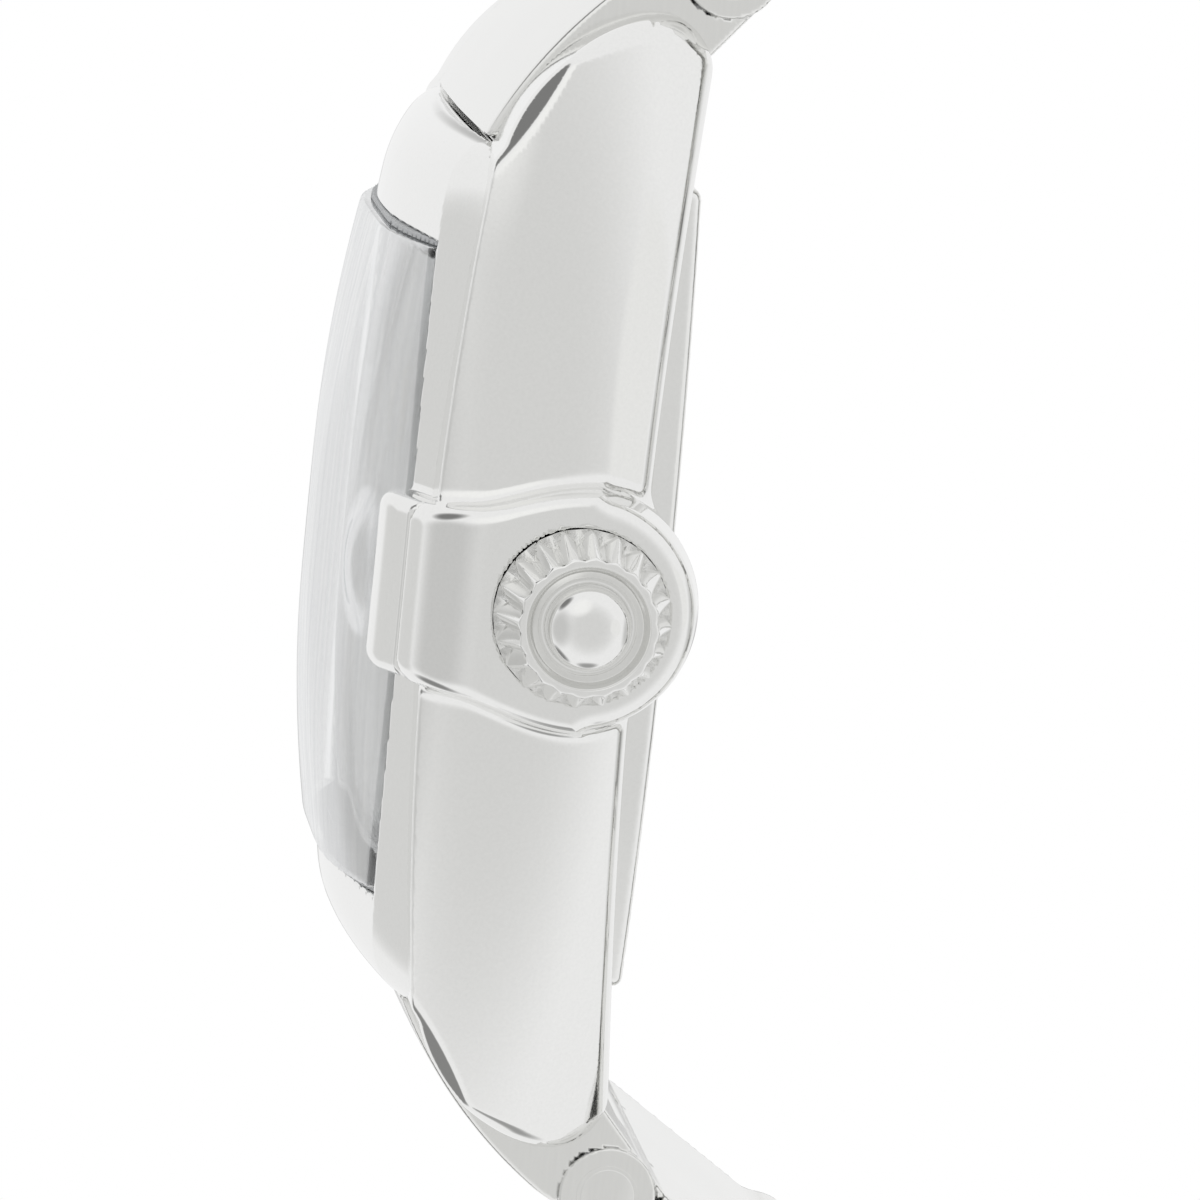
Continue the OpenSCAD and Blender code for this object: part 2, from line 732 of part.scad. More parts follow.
module movement_plate() {
    wall_r = date_outer_r + run;
    color(brass) in_row() difference() {
        union() {
            translate([0, 0, plate_z]) cylinder(r = plate_r, h = plate_top - plate_z);
            translate([0, 0, plate_top - eps]) difference() {
                cylinder(r = plate_r - 0.1, h = 0.4);
                translate([0, 0, -1]) cylinder(r = wall_r, h = 3);
            }
            for (p = pillars) translate([p[0], p[1], train_z]) cylinder(r = pillar_r, h = plate_z - train_z + eps);
            translate([6.4, -1, crown_z - 0.75]) cube([1.4, 2, plate_z - crown_z + 0.75 + eps]);
            translate([6.3, -3.3, board_z + 0.2]) cylinder(r = 0.5, h = plate_z - board_z - 0.2 + eps);
        }
        for (p = pillars) translate([p[0], p[1], 0]) cylinder(r = 0.25, h = plate_z + 0.2);
        cylinder(r = centre_tube_r + run, h = 10);
        for (p = [third_at, step_at, rotor_at])
            translate([p[0], p[1], plate_z - 1]) cylinder(r = pivot_r + 0.03, h = 1.4);
        translate([minute_at[0], minute_at[1], plate_top - 0.5]) cylinder(r = pivot_r + 0.03, h = 1);
        bar_x(0, 30, stem_r + run, 0, crown_z);
    }
}

module train_bridge() {
    arm = 1.3;
    color(dark_steel) in_row() difference() {
        translate([0, 0, bridge_z]) linear_extrude(bridge_t) {
            circle(r = 1.7);
            translate(third_at) circle(r = 1.3);
            translate(step_at) circle(r = 1.1);
            translate(rotor_at) circle(r = 0.9);
            for (p = pillars) translate(p) circle(r = 0.85);
            strip([0, 0], pillars[0], arm);
            strip(step_at, pillars[0], arm);
            strip(rotor_at, pillars[1], arm);
            strip(third_at, pillars[2], arm);
            strip(third_at, pillars[3], arm);
            strip(step_at, rotor_at, arm);
            strip([0, 0], third_at, arm);
            strip([0, 0], pillars[1], arm);
        }
        for (p = pillars) translate([p[0], p[1], 0]) cylinder(r = 0.25, h = 5);
        for (p = [[0, 0], third_at, step_at, rotor_at])
            translate([p[0], p[1], 0]) cylinder(r = pivot_r + 0.03, h = 5);
    }
}

module movement_screws() {
    color(dark_steel) in_row() for (p = pillars) translate([p[0], p[1], bridge_z - 0.3]) difference() {
        union() {
            cylinder(r = 0.5, h = 0.3);
            cylinder(r = 0.25, h = 1.8);
        }
        translate([-1, -0.07, -1]) cube([2, 0.14, 1.15]);
    }
}

module battery() {
    can_step = 0.3;
    color(steel) in_row() translate([battery_at[0], battery_at[1], battery_base]) {
        cylinder(r = battery_r - can_step, h = plate_z - battery_base);
        cylinder(r = battery_r, h = plate_z - battery_base - can_step);
    }
}

module battery_clip() {
    post = battery_at + [0.4, 4.3];
    color(brass) in_row() difference() {
        union() {
            translate([0, 0, battery_base - 0.2]) linear_extrude(0.2) {
                strip(battery_at - [0, 1.6], battery_at + [0, 1.8], 1.4);
                strip(battery_at + [0, 1.6], post, 1);
                translate(post) circle(r = 0.5);
            }
            translate([post[0], post[1], battery_base - 0.1]) cylinder(r = 0.45, h = plate_z - battery_base + 0.1);
        }
        translate([battery_at[0], battery_at[1], battery_base - 1]) cylinder(r = 0.3, h = 1.5);
    }
}

// Coil on its core, with the stator around the rotor
module coil() {
    color([0.75, 0.42, 0.2]) in_row() {
        bar_x(coil_at[0] - coil_half, coil_at[0] + coil_half, coil_r, coil_at[1], coil_z);
        bar_x(coil_at[0] - core_half, coil_at[0] + core_half, core_r, coil_at[1], coil_z);
        for (side = [-1, 1])
            translate([coil_at[0] + side * core_half - 0.4, coil_at[1] - 0.6, stator_z + stator_t])
                cube([0.8, 1.2, plate_z - stator_z - stator_t]);
    }
}

module stator() {
    color(dark_steel) in_row() translate([0, 0, stator_z]) linear_extrude(stator_t) difference() {
        union() {
            translate(rotor_at) circle(r = magnet_r + 0.75);
            for (side = [-1, 1]) {
                strip(rotor_at + [side * 0.7, 0.7], coil_at + [side * core_half, 0.3], 1.1);
                translate(coil_at + [side * core_half, 0]) circle(r = 0.65);
            }
        }
        translate(rotor_at) circle(r = magnet_r + 0.1);
    }
}

module circuit_board() {
    chip_at = [5.6, -5.2];
    color([0.15, 0.4, 0.25]) in_row() {
        translate([0, 0, board_z]) linear_extrude(0.2) difference() {
            intersection() {
                circle(r = plate_r - 0.4);
                polygon([[1.2, -12], [1.2, -5.2], [5.2, -1.4], [12, -1.4], [12, -12]]);
            }
            circle(r = 5.3);
            translate(pillars[2]) circle(r = pillar_r + 0.1);
        }
        translate([chip_at[0] - 0.9, chip_at[1] - 0.9, board_z - 0.45]) cube([1.8, 1.8, 0.46]);
        translate([2.3, -7.2, board_z - 0.5]) rotate([0, 90, 0]) cylinder(r = 0.52, h = 2.4);
    }
}

// Gear outline with straight flanks and backlash
function gear_points(teeth, size) =
    [for (i = [0:teeth - 1]) for (c = [[-0.3, -1.15], [-0.12, 0.85], [0.12, 0.85], [0.3, -1.15]])
        let (a = (i + c[0]) * 360 / teeth, r = (teeth / 2 + c[1]) * size) r * [cos(a), sin(a)]];

// A gear that has a tooth, or with shift 0.5 a space, at the given direction
module gear(teeth, size, layer, direction, shift = 0) {
    rotate(direction + shift * 360 / teeth)
        translate([0, 0, layer[0]]) linear_extrude(layer[1] - layer[0]) polygon(gear_points(teeth, size));
}

module spoked(teeth, size, layer, direction, shift) {
    r = teeth / 2 * size;
    difference() {
        gear(teeth, size, layer, direction, shift);
        for (i = [0:3]) rotate(i * 90) translate([r * 0.56, 0, layer[0] - 1]) cylinder(r = r * 0.24, h = 3);
    }
}

module arbor(z_low, z_high, r) {
    translate([0, 0, z_low]) cylinder(r = r, h = z_high - z_low);
}

module stepper_rotor() {
    color(dark_steel) in_row() translate([rotor_at[0], rotor_at[1], 0]) {
        arbor(bridge_z + 0.1, plate_z + 0.3, pivot_r);
        arbor(train_z + 0.1, rotor_pinion_z[0], magnet_r);
        gear(rotor_leaves, tooth_size, rotor_pinion_z, rotor_dir + 180);
    }
}

module intermediate_wheel() {
    color(brass) in_row() translate([step_at[0], step_at[1], 0]) {
        arbor(bridge_z + 0.1, plate_z + 0.3, pivot_r);
        arbor(train_z + 0.1, plate_z - 0.15, 0.22);
        gear(step_leaves, drive_tooth, step_pinion_z, step_dir + 180);
        spoked(step_teeth, tooth_size, step_wheel_z, rotor_dir, 0.5);
    }
}

module seconds_wheel() {
    color(brass) in_row() {
        arbor(bridge_z + 0.1, second_hand_z + 0.1, pivot_r);
        arbor(train_z + 0.05, second_hand_z + 0.1, seconds_arbor_r);
        spoked(seconds_teeth, drive_tooth, seconds_wheel_z, step_dir, 0.5);
        gear(seconds_leaves, tooth_size, seconds_pinion_z - [eps, 0], third_dir);
    }
}

module third_wheel() {
    color(brass) in_row() translate([third_at[0], third_at[1], 0]) {
        arbor(bridge_z + 0.1, plate_z + 0.3, pivot_r);
        arbor(train_z + 0.1, plate_z - 0.15, 0.2);
        spoked(third_teeth, tooth_size, third_wheel_z, third_dir + 180, 0.5);
        gear(third_leaves, centre_tooth, third_pinion_z, third_dir + 180);
    }
}

module centre_wheel() {
    color(brass) in_row() difference() {
        union() {
            spoked(centre_teeth, centre_tooth, centre_wheel_z, third_dir, 0.5);
            arbor(centre_wheel_z[0] - 0.1, minute_hand_z + 0.15, centre_tube_r);
            gear(cannon_leaves, cannon_tooth, cannon_z, minute_dir);
        }
        cylinder(r = seconds_arbor_r + run, h = 12);
    }
}

module minute_wheel() {
    color(brass) in_row() translate([minute_at[0], minute_at[1], 0]) {
        arbor(plate_top - 0.4, dial_z - 0.05, pivot_r);
        spoked(minute_teeth, cannon_tooth, minute_wheel_z, minute_dir + 180, 0.5);
        gear(minute_leaves, hour_tooth, minute_pinion_z - [eps, 0], minute_dir + 180);
    }
}

module hour_wheel() {
    color(brass) in_row() difference() {
        union() {
            spoked(hour_teeth, hour_tooth, hour_wheel_z, minute_dir, 0.5);
            arbor(hour_wheel_z[0], hour_hand_z + 0.15, hour_tube_r);
        }
        cylinder(r = centre_tube_r + run, h = 12);
    }
}

// Date ring with teeth inside
module date_ring() {
    color([0.95, 0.95, 0.95]) in_row() translate([0, 0, plate_top + 0.03]) linear_extrude(0.3) difference() {
        circle(r = date_outer_r);
        polygon([for (i = [0:30]) for (c = [[-0.3, 0.25], [-0.12, 0], [0.12, 0], [0.3, 0.25]])
            let (a = (i + c[0]) * 360 / 31) (date_inner_r + c[1]) * [cos(a), sin(a)]]);
    }
}

// Bracelet: where joint k of a side lies, as [y, z], counted from the case
function joint_at(k) =
    [0, loop_z] + loop_r * [cos(start_angle - k * link_turn), sin(start_angle - k * link_turn)];

function polar(angle, r) = [0, loop_z] + r * [cos(angle), sin(angle)];

// Direction from joint k - 1 to joint k
function link_dir(k) = start_angle - 90 - (k - 0.5) * link_turn;

module at_link(k) {
    translate(joint_at(k - 1)) rotate(link_dir(k)) children();
}

// Shallow ring that sets off the pin head in a barrel's end
module pin_ring(half_w, at) {
    head_r = 0.95;
    both_sides() translate([half_w - 0.12, at[0], at[1]]) rotate([0, 90, 0]) difference() {
        cylinder(r = head_r, h = 1);
        translate([0, 0, -1]) cylinder(r = head_r - 0.12, h = 3);
    }
}

module plate_outline(to) {
    translate([0, -plate_half_t]) square([to, 2 * plate_half_t]);
}

// Outer knuckles with the pin across them, at the far end of a link or an end piece
module far_knuckles(half_w, at) {
    both_sides() bar_x(knuckle_half + gap / 2, half_w, barrel_r, at[0], at[1]);
    bar_x(-half_w, half_w, pin_r, at[0], at[1]);
}

// One link: middle knuckle at the near joint, outer knuckles and pin at the far joint
module link(k, half_w, last = false) {
    near = joint_at(k - 1);
    far = joint_at(k);
    inner = knuckle_half - gap / 2;
    outer = knuckle_half + gap / 2;
    clear_r = barrel_r + gap;
    end_cut = last ? 3.4 : 0;
    difference() {
        union() {
            side_extrude(-half_w, half_w) at_link(k) difference() {
                plate_outline(link_pitch);
                circle(r = clear_r);
                translate([link_pitch, 0]) circle(r = clear_r);
                if (last) translate([link_pitch - end_cut, -5]) square([5, 10]);
            }
            side_extrude(-inner, inner) at_link(k) {
                circle(r = barrel_r);
                plate_outline(clear_r + 0.3);
            }
            both_sides() side_extrude(outer, half_w) at_link(k) difference() {
                plate_outline(link_pitch);
                circle(r = clear_r);
            }
            far_knuckles(half_w, far);
        }
        bar_x(-inner - 1, inner + 1, pin_r + run, near[0], near[1]);
        if (last) bar_x(-outer, outer, barrel_r + gap, far[0], far[1]);
        pin_ring(half_w, far);
    }
}

function width_a(k) = end_piece_half_w + (clasp_half_w - end_piece_half_w) * k / links_a;

function width_b(k) = end_piece_half_w + (clasp_half_w - end_piece_half_w) * k / links_b;

module link_a(k) {
    color(steel) in_row() link(k, width_a(k), k == links_a);
}

module link_b(k) {
    color(steel) in_row() mirror([0, 1, 0]) link(k, width_b(k));
}

// Piece between the lugs that carries the first hinge
module end_piece() {
    at = joint_at(0);
    difference() {
        union() {
            side_extrude(-end_piece_half_w, end_piece_half_w) polygon(concat(
                [[body_half_l + run, 0.9]],
                arc([body_half_l - 6.48, -7.08], end_crest_r, 64.7, 36, 8),
                [at + [0.45, 1.5], at, at + [-1.2, -0.9], at + [-2.8, 0.45]]
            ));
            far_knuckles(end_piece_half_w, at);
        }
        side_extrude(-knuckle_half - gap / 2, knuckle_half + gap / 2) difference() {
            translate(at) circle(r = barrel_r + gap);
            translate(at) circle(r = pin_r);
        }
        bar_x(-30, 30, bar_r, bar_y, bar_z);
        pin_ring(end_piece_half_w, at);
    }
}

module end_piece_12() {
    color(steel) in_row() end_piece();
}

module end_piece_6() {
    color(steel) in_row() mirror([0, 1, 0]) end_piece();
}

module end_bars() {
    color(dark_steel) in_row() both_ends() bar_x(-lug_inner_x - 1.1, lug_inner_x + 1.1, bar_r, bar_y, bar_z);
}

// Clasp blades: strips that follow the inside of the links
module blade_strip(top, from, to) {
    inner = top - blade_t;
    translate([0, loop_z]) intersection() {
        difference() {
            circle(r = top, $fn = big_fn);
            circle(r = inner, $fn = big_fn);
        }
        polygon([[0, 0], 40 * [cos(from), sin(from)], 48 * [cos((from + to) / 2), sin((from + to) / 2)],
            40 * [cos(to), sin(to)]]);
    }
}

// Short arm from a joint on the pin circle down to a blade
module blade_arm(angle, bottom) {
    translate([0, loop_z]) rotate(angle) translate([bottom, -0.8]) square([loop_r - bottom, 1.6]);
}

module clasp_blade_outer() {
    hinge = polar(hinge_b_angle, blade_pin_at);
    root = polar(end_b_angle, loop_r);
    catch_at = polar(catch_angle, outer_blade_top - blade_t);
    color(steel) in_row() difference() {
        union() {
            side_extrude(-blade_half_w, blade_half_w) {
                blade_arm(end_b_angle, outer_blade_top - blade_t);
                blade_strip(outer_blade_top, end_b_angle + 2, hinge_b_angle);
                translate(root) circle(r = barrel_r);
            }
            both_sides() bar_x(blade_knuckle_half + gap, blade_half_w, blade_barrel_r, hinge[0], hinge[1]);
            translate([0, catch_at[0], catch_at[1]]) rotate([90 + catch_angle, 0, 0])
                translate([0, 0, -0.2]) cylinder(r = 0.6, h = 0.8);
        }
        bar_x(-30, 30, pin_r + run, root[0], root[1]);
        bar_x(-30, 30, blade_pin_r, hinge[0], hinge[1]);
        bar_x(-blade_knuckle_half - gap, blade_knuckle_half + gap, blade_barrel_r + gap, hinge[0], hinge[1]);
    }
}

module clasp_blade_inner() {
    hinge = polar(hinge_b_angle, blade_pin_at);
    open_pivot = polar(end_a_angle, loop_r);
    catch_at = polar(catch_angle, inner_blade_top);
    color(steel) in_row() difference() {
        union() {
            side_extrude(-blade_half_w, blade_half_w) difference() {
                union() {
                    blade_arm(end_a_angle, inner_blade_top - blade_t);
                    blade_strip(inner_blade_top, end_a_angle + 1.7, hinge_b_angle);
                    translate(open_pivot) circle(r = barrel_r);
                }
                translate(hinge) circle(r = blade_barrel_r + gap);
            }
            side_extrude(-blade_knuckle_half, blade_knuckle_half) {
                blade_strip(inner_blade_top, hinge_b_angle + 6, hinge_b_angle);
                translate(hinge) circle(r = blade_barrel_r);
            }
        }
        bar_x(-30, 30, pin_r + run, open_pivot[0], open_pivot[1]);
        bar_x(-30, 30, blade_pin_r + run, hinge[0], hinge[1]);
        translate([0, catch_at[0], catch_at[1]]) rotate([90 + catch_angle, 0, 0]) cylinder(r = 0.9, h = 4, center = true);
    }
}

module clasp_pin() {
    hinge = polar(hinge_b_angle, blade_pin_at);
    color(dark_steel) in_row() bar_x(-blade_half_w, blade_half_w, blade_pin_r, hinge[0], hinge[1]);
}

case_middle();
bezel();
crystal();
crystal_gasket();
case_back();
back_gasket();
back_screws();
dial();
hour_markers();
hour_hand();
minute_hand();
second_hand();
crown();
crown_stem();
crown_gasket();
crown_tube();
movement_ring();
movement_plate();
train_bridge();
movement_screws();
battery();
battery_clip();
coil();
stator();
circuit_board();
stepper_rotor();
intermediate_wheel();
seconds_wheel();
third_wheel();
centre_wheel();
minute_wheel();
hour_wheel();
date_ring();
end_piece_12();
end_piece_6();
end_bars();
link_a(1);  // link_a1
link_a(2);  // link_a2
link_a(3);  // link_a3
link_a(4);  // link_a4
link_a(5);  // link_a5
link_a(6);  // link_a6
link_b(1);  // link_b1
link_b(2);  // link_b2
link_b(3);  // link_b3
link_b(4);  // link_b4
link_b(5);  // link_b5
link_b(6);  // link_b6
link_b(7);  // link_b7
link_b(8);  // link_b8
clasp_blade_outer();
clasp_blade_inner();
clasp_pin();
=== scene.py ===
# %% [markdown]
# # A tonneau watch in polished steel
#
# The CAD part is packed already: every piece sits where its hinge or its seat puts it and moves with its
# own body. This lesson builds the looks around that frame.
#
# Polished steel shows every flaw of a surface, and boxes with bevels would break its reflections at each
# edge. So the case is written as fields, which are functions that tell for any point how far it is from
# the surface, and the meshes are taken from the fields.

# %% Start and frame
import bpy
import json
import math
import numpy as np
from mathutils import Matrix, Vector


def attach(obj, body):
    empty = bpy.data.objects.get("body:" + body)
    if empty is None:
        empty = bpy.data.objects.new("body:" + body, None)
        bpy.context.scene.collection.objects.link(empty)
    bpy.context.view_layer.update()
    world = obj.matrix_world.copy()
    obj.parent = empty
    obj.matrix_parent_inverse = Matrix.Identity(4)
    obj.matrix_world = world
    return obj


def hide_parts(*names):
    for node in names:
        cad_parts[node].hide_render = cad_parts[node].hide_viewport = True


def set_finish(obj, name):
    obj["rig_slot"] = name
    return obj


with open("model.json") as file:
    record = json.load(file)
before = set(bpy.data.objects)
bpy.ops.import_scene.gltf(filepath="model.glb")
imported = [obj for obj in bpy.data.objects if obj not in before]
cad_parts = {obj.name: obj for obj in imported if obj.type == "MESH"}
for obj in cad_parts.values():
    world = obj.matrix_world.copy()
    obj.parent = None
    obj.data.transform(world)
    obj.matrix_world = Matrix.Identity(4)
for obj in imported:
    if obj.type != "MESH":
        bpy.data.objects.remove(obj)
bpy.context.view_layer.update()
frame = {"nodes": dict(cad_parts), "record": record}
print("nodes in the frame:", len(frame["nodes"]))

# %% [markdown]
# ## Watch axes
#
# A watchmaker's drawing puts x to 3 o'clock, y to 12 o'clock and z out of the dial, in millimetres, with
# the origin on the case back. The frame wants metres and has the watch lying on its 9 o'clock side. All
# shapes are drawn in watch axes, so that their numbers match the drawing, and one function turns them at
# the end.

# %% Axes
def to_row(points):
    p = np.asarray(points, float)
    return np.stack([-p[..., 1], -p[..., 2], p[..., 0]], -1) / 1000


def row_vector(v):
    return Vector((-v[1], -v[2], v[0]))


print("one millimetre to 12 o'clock, in the frame:", to_row([0, 1, 0]))

# %% [markdown]
# ## Fields
#
# A real case is ground and then polished, so no edge is quite sharp and no corner quite hollow. Bevel
# modifiers fail where many curved faces meet. A field is negative inside a body and positive outside. The
# larger of two fields is what both bodies share, and the smaller is their union. The rounded versions
# blend over a radius: round_max rounds an edge, and round_min fills a corner.

# %% Field tools
def round_max(a, b, r):
    outside = np.hypot(np.maximum(r + a, 0), np.maximum(r + b, 0))
    return np.minimum(-r, np.maximum(a, b)) + outside


def round_min(a, b, r):
    inside = np.hypot(np.maximum(r - a, 0), np.maximum(r - b, 0))
    return np.maximum(r, np.minimum(a, b)) - inside


def shared(*fields):
    result = fields[0]
    for field in fields[1:]:
        result = np.maximum(result, field)
    return result


def smooth_step(value, low, high):
    t = np.clip((value - low) / (high - low), 0, 1)
    return t * t * (3 - 2 * t)


print("a corner rounded over 1 mm loses", round(float(round_max(np.array(0.0), np.array(0.0), 1.0)), 3), "mm")

# %% [markdown]
# ## From a field to mesh points
#
# Blender draws meshes, so the field is sampled on a grid. A mesh with its vertices on the grid's edges
# would have many thin triangles. Here each grid cell that the surface crosses gets one vertex, in the
# middle of the places where the surface cuts the cell's edges. That gives even quads.

# %% Points in the cells
cell_corners = [(i, j, k) for i in (0, 1) for j in (0, 1) for k in (0, 1)]
cell_edges = []
for corner in cell_corners:
    for axis in range(3):
        if corner[axis] == 0:
            opposite = list(corner)
            opposite[axis] = 1
            cell_edges.append((corner, tuple(opposite)))


def crossed_cells(inside, cells):
    count = np.zeros(cells, np.int8)
    for i, j, k in cell_corners:
        count += inside[i:i + cells[0], j:j + cells[1], k:k + cells[2]]
    return np.argwhere((count > 0) & (count < len(cell_corners)))


def cell_points(value, index):
    total = np.zeros((len(index), 3))
    hits = np.zeros(len(index))
    for a, b in cell_edges:
        at_a = value[tuple((index + a).T)]
        at_b = value[tuple((index + b).T)]
        crossed = (at_a < 0) != (at_b < 0)
        t = at_a[crossed] / (at_a[crossed] - at_b[crossed])
        total[crossed] += np.array(a) + t[:, None] * (np.array(b) - np.array(a))
        hits[crossed] += 1
    return index + total / hits[:, None]


print("edges of a grid cell:", len(cell_edges))

# %% [markdown]
# ## Quads between the points
#
# Where a grid edge goes through the surface, the vertices of the four cells around it make one quad. Its
# corners run the other way round when the inside lies on the other side, so that every face looks
# outward.

# %% Quads
def edge_quads(inside, number, axis):
    u, v = [a for a in range(3) if a != axis]
    first = [slice(None)] * 3
    second = [slice(None)] * 3
    first[axis] = slice(0, -1)
    second[axis] = slice(1, None)
    at = np.argwhere(inside[tuple(first)] != inside[tuple(second)])
    cells = number.shape
    at = at[(at[:, u] > 0) & (at[:, v] > 0) & (at[:, u] < cells[u]) & (at[:, v] < cells[v])]
    ring = []
    for du, dv in ((1, 1), (0, 1), (0, 0), (1, 0)):
        cell = at.copy()
        cell[:, u] -= du
        cell[:, v] -= dv
        ring.append(number[tuple(cell.T)])
    ring = np.stack(ring, -1)
    outward = inside[tuple(at.T)]
    if axis == 1:
        outward = ~outward
    ring[~outward] = ring[~outward][:, ::-1]
    return ring


def field_mesh(field, low, high, step):
    axes = [np.arange(start - 1.5 * step, stop + 2.5 * step, step) for start, stop in zip(low, high)]
    x, y, z = np.meshgrid(*axes, indexing="ij")
    value = field(x, y, z)
    inside = value < 0
    cells = tuple(count - 1 for count in value.shape)
    index = crossed_cells(inside, cells)
    number = -np.ones(cells, np.int64)
    number[tuple(index.T)] = np.arange(len(index))
    origin = np.array([axis[0] for axis in axes])
    points = origin + cell_points(value, index) * step
    return points, np.concatenate([edge_quads(inside, number, axis) for axis in range(3)])


def ball(x, y, z):
    return np.sqrt(x * x + y * y + z * z) - 1


print("quads of a ball of 1 mm:", len(field_mesh(ball, (-1, -1, -1), (1, 1, 1), 0.2)[1]))

# %% [markdown]
# ## Onto the true surface
#
# The vertices lie near the surface, but not on it, and a mirror would show that as ripples. A finer grid
# would cost millions of faces. Instead every vertex slides along the field's slope onto the surface. The
# slope is also the exact normal and is stored with the mesh, so reflections follow the true shape.

# %% Slope and surface
slide_rounds = 5
slide_limit = 0.4


def slope(field, p, h):
    columns = []
    for axis in range(3):
        offset = np.zeros(3)
        offset[axis] = h
        a = p + offset
        b = p - offset
        columns.append(field(a[:, 0], a[:, 1], a[:, 2]) - field(b[:, 0], b[:, 1], b[:, 2]))
    return np.stack(columns, -1) / (2 * h)


def onto_surface(field, points, step):
    p = points.copy()
    for _ in range(slide_rounds):
        g = slope(field, p, step * 0.1)
        size = np.maximum((g * g).sum(1), 1e-6)
        move = field(p[:, 0], p[:, 1], p[:, 2])[:, None] * g / size[:, None]
        length = np.linalg.norm(move, axis=1, keepdims=True)
        p -= move * np.minimum(1, slide_limit * step / np.maximum(length, 1e-9))
    g = slope(field, p, step * 0.3)
    return p, g / np.maximum(np.linalg.norm(g, axis=1, keepdims=True), 1e-9)


print("rounds of sliding:", slide_rounds)

# %% [markdown]
# ## Pieces
#
# A piece is a mesh that rides on a CAD body, stands for CAD nodes and has a material slot. One forgotten
# line would leave a piece behind when the watch moves, so one helper does it for all.

# %% Piece helpers
pieces = []


def in_scene(name, data):
    obj = bpy.data.objects.new(name, data)
    bpy.context.scene.collection.objects.link(obj)
    return obj


def add_piece(name, points, faces, body, nodes=(), normals=None, slot="case_steel"):
    mesh = bpy.data.meshes.new(name)
    mesh.from_pydata(to_row(points).tolist(), [], [list(map(int, f)) for f in faces])
    mesh.polygons.foreach_set("use_smooth", [True] * len(mesh.polygons))
    mesh.update()
    if normals is not None:
        row_normals = np.stack([-normals[:, 1], -normals[:, 2], normals[:, 0]], -1)
        mesh.normals_split_custom_set_from_vertices(row_normals.tolist())
    obj = in_scene(name, mesh)
    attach(obj, body)
    if nodes:
        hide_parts(*nodes)
    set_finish(obj, slot)
    pieces.append(obj)


def field_piece(name, field, low, high, step, body, nodes=(), slot="case_steel"):
    points, quads = field_mesh(field, low, high, step)
    points, normals = onto_surface(field, points, step)
    print(name, "has", len(quads), "faces")
    add_piece(name, points, quads, body, nodes, normals, slot)


print("pieces so far:", len(pieces))

# %% [markdown]
# ## The case outline
#
# Seen from the front the case is a barrel: each long side is one arc of 42 mm. The flank is rounded
# across with a radius of 5.5 mm, a little flatter below, and widest at half height. The seam below the
# bezel and the underside are long arcs. A lofted mesh would need a profile at many stations. As a field
# it takes one helper, across, which turns the barrel into a straight bar: it gives the half width that a
# point would have at the middle of the case.

# %% Case outline
case_half_w = 14.8
side_r = 42.0
flank_z = 4.9
flank_r = 5.5
flank_core = 9.3
lower_flank = 0.86
seam_r = 92.0
seam_centre = -84.5
under_r = 111.0
under_centre = -109.9


def across(x, y):
    centre = side_r - case_half_w
    return np.hypot(np.abs(x) + centre, y) - centre


def seam(y, z):
    return np.hypot(y, z - seam_centre) - seam_r


def flank_side(w, z):
    rise = np.where(z > flank_z, z - flank_z, (z - flank_z) * lower_flank)
    return np.hypot(np.maximum(w - flank_core, 0), rise) - flank_r


print("the seam at 3 o'clock is at z", seam_centre + seam_r, "mm")

# %% [markdown]
# ## The lugs
#
# Past the bezel the lugs fall in one round curve to their noses. The radius of the edge grows towards the
# nose, and a flat facet cuts the edge near the bezel: the dark almond at each lug. As a separate face it
# would need its own fillets. As one more plane in the field it gets them from round_max.

# %% Lugs
lug_tip = 17.3
lug_start = 11.3
lug_centre_z = 0.4
lug_r = 6.2
lug_spare = 0.24
lug_crest = 6.44
nose_place = (15.4, 1.6)
nose_r = 1.9
facet_point = (12.11, 14.65, 5.62)
facet_normal = (0.577, 0.550, 0.604)
facet_depth = 0.30


def lug_end(y, z):
    abs_y = np.abs(y)
    out = abs_y - lug_start
    rise = z - lug_centre_z
    spare = lug_spare * (1 - smooth_step(abs_y, 12.5, 13.3))
    crest = np.where(out > 0, np.hypot(out, rise) - lug_r - spare, rise - lug_crest + 0.3 * out)
    nose = np.hypot(np.maximum(abs_y - nose_place[0], 0), z - nose_place[1]) - nose_r
    return np.where(out * 1.2 - rise * 4.1 > 0, nose, crest)


def facet(x, y, z):
    a, b, c = (side - middle for side, middle in zip((np.abs(x), np.abs(y), z), facet_point))
    return a * facet_normal[0] + b * facet_normal[1] + c * facet_normal[2] + facet_depth


def case_shell(x, y, z):
    flank = flank_side(across(x, y), z)
    under = under_r - np.hypot(y, z - under_centre)
    top = round_max(seam(y, z), lug_end(y, z), 0.1)
    edge_r = 0.1 + 0.6 * smooth_step(np.abs(y), 15.3, 16.6)
    body = round_max(flank, top, edge_r)
    body = round_max(body, facet(x, y, z), 0.09)
    return round_max(body, under, 0.45)


tip_half_w = math.sqrt(side_r ** 2 - lug_tip ** 2) - side_r + case_half_w
print("half width at the lug tips:", round(tip_half_w, 2), "mm")

# %% [markdown]
# ## The crown guard
#
# At 3 o'clock a round guard grows out of the flank and carries a neck up to the bezel. Seen along the
# crown the two make a pear. The front is flat around the crown and rolls back over the neck with a radius
# of 3 mm. Two solids would show a seam between ring and neck, so both are one outline with a fillet of
# 0.8 mm.

# %% Crown guard
crown_z = 3.1
guard_front = 16.1
guard_root = 14.4
guard_reach = 1.7
guard_root_r = 3.65
guard_taper = 0.3
neck_x = 13.6
neck_half_w = 2.62
neck_top_z = 8.18
neck_flare = 0.12
roll_x = 13.07
roll_z = 5.2
roll_r = 3.03


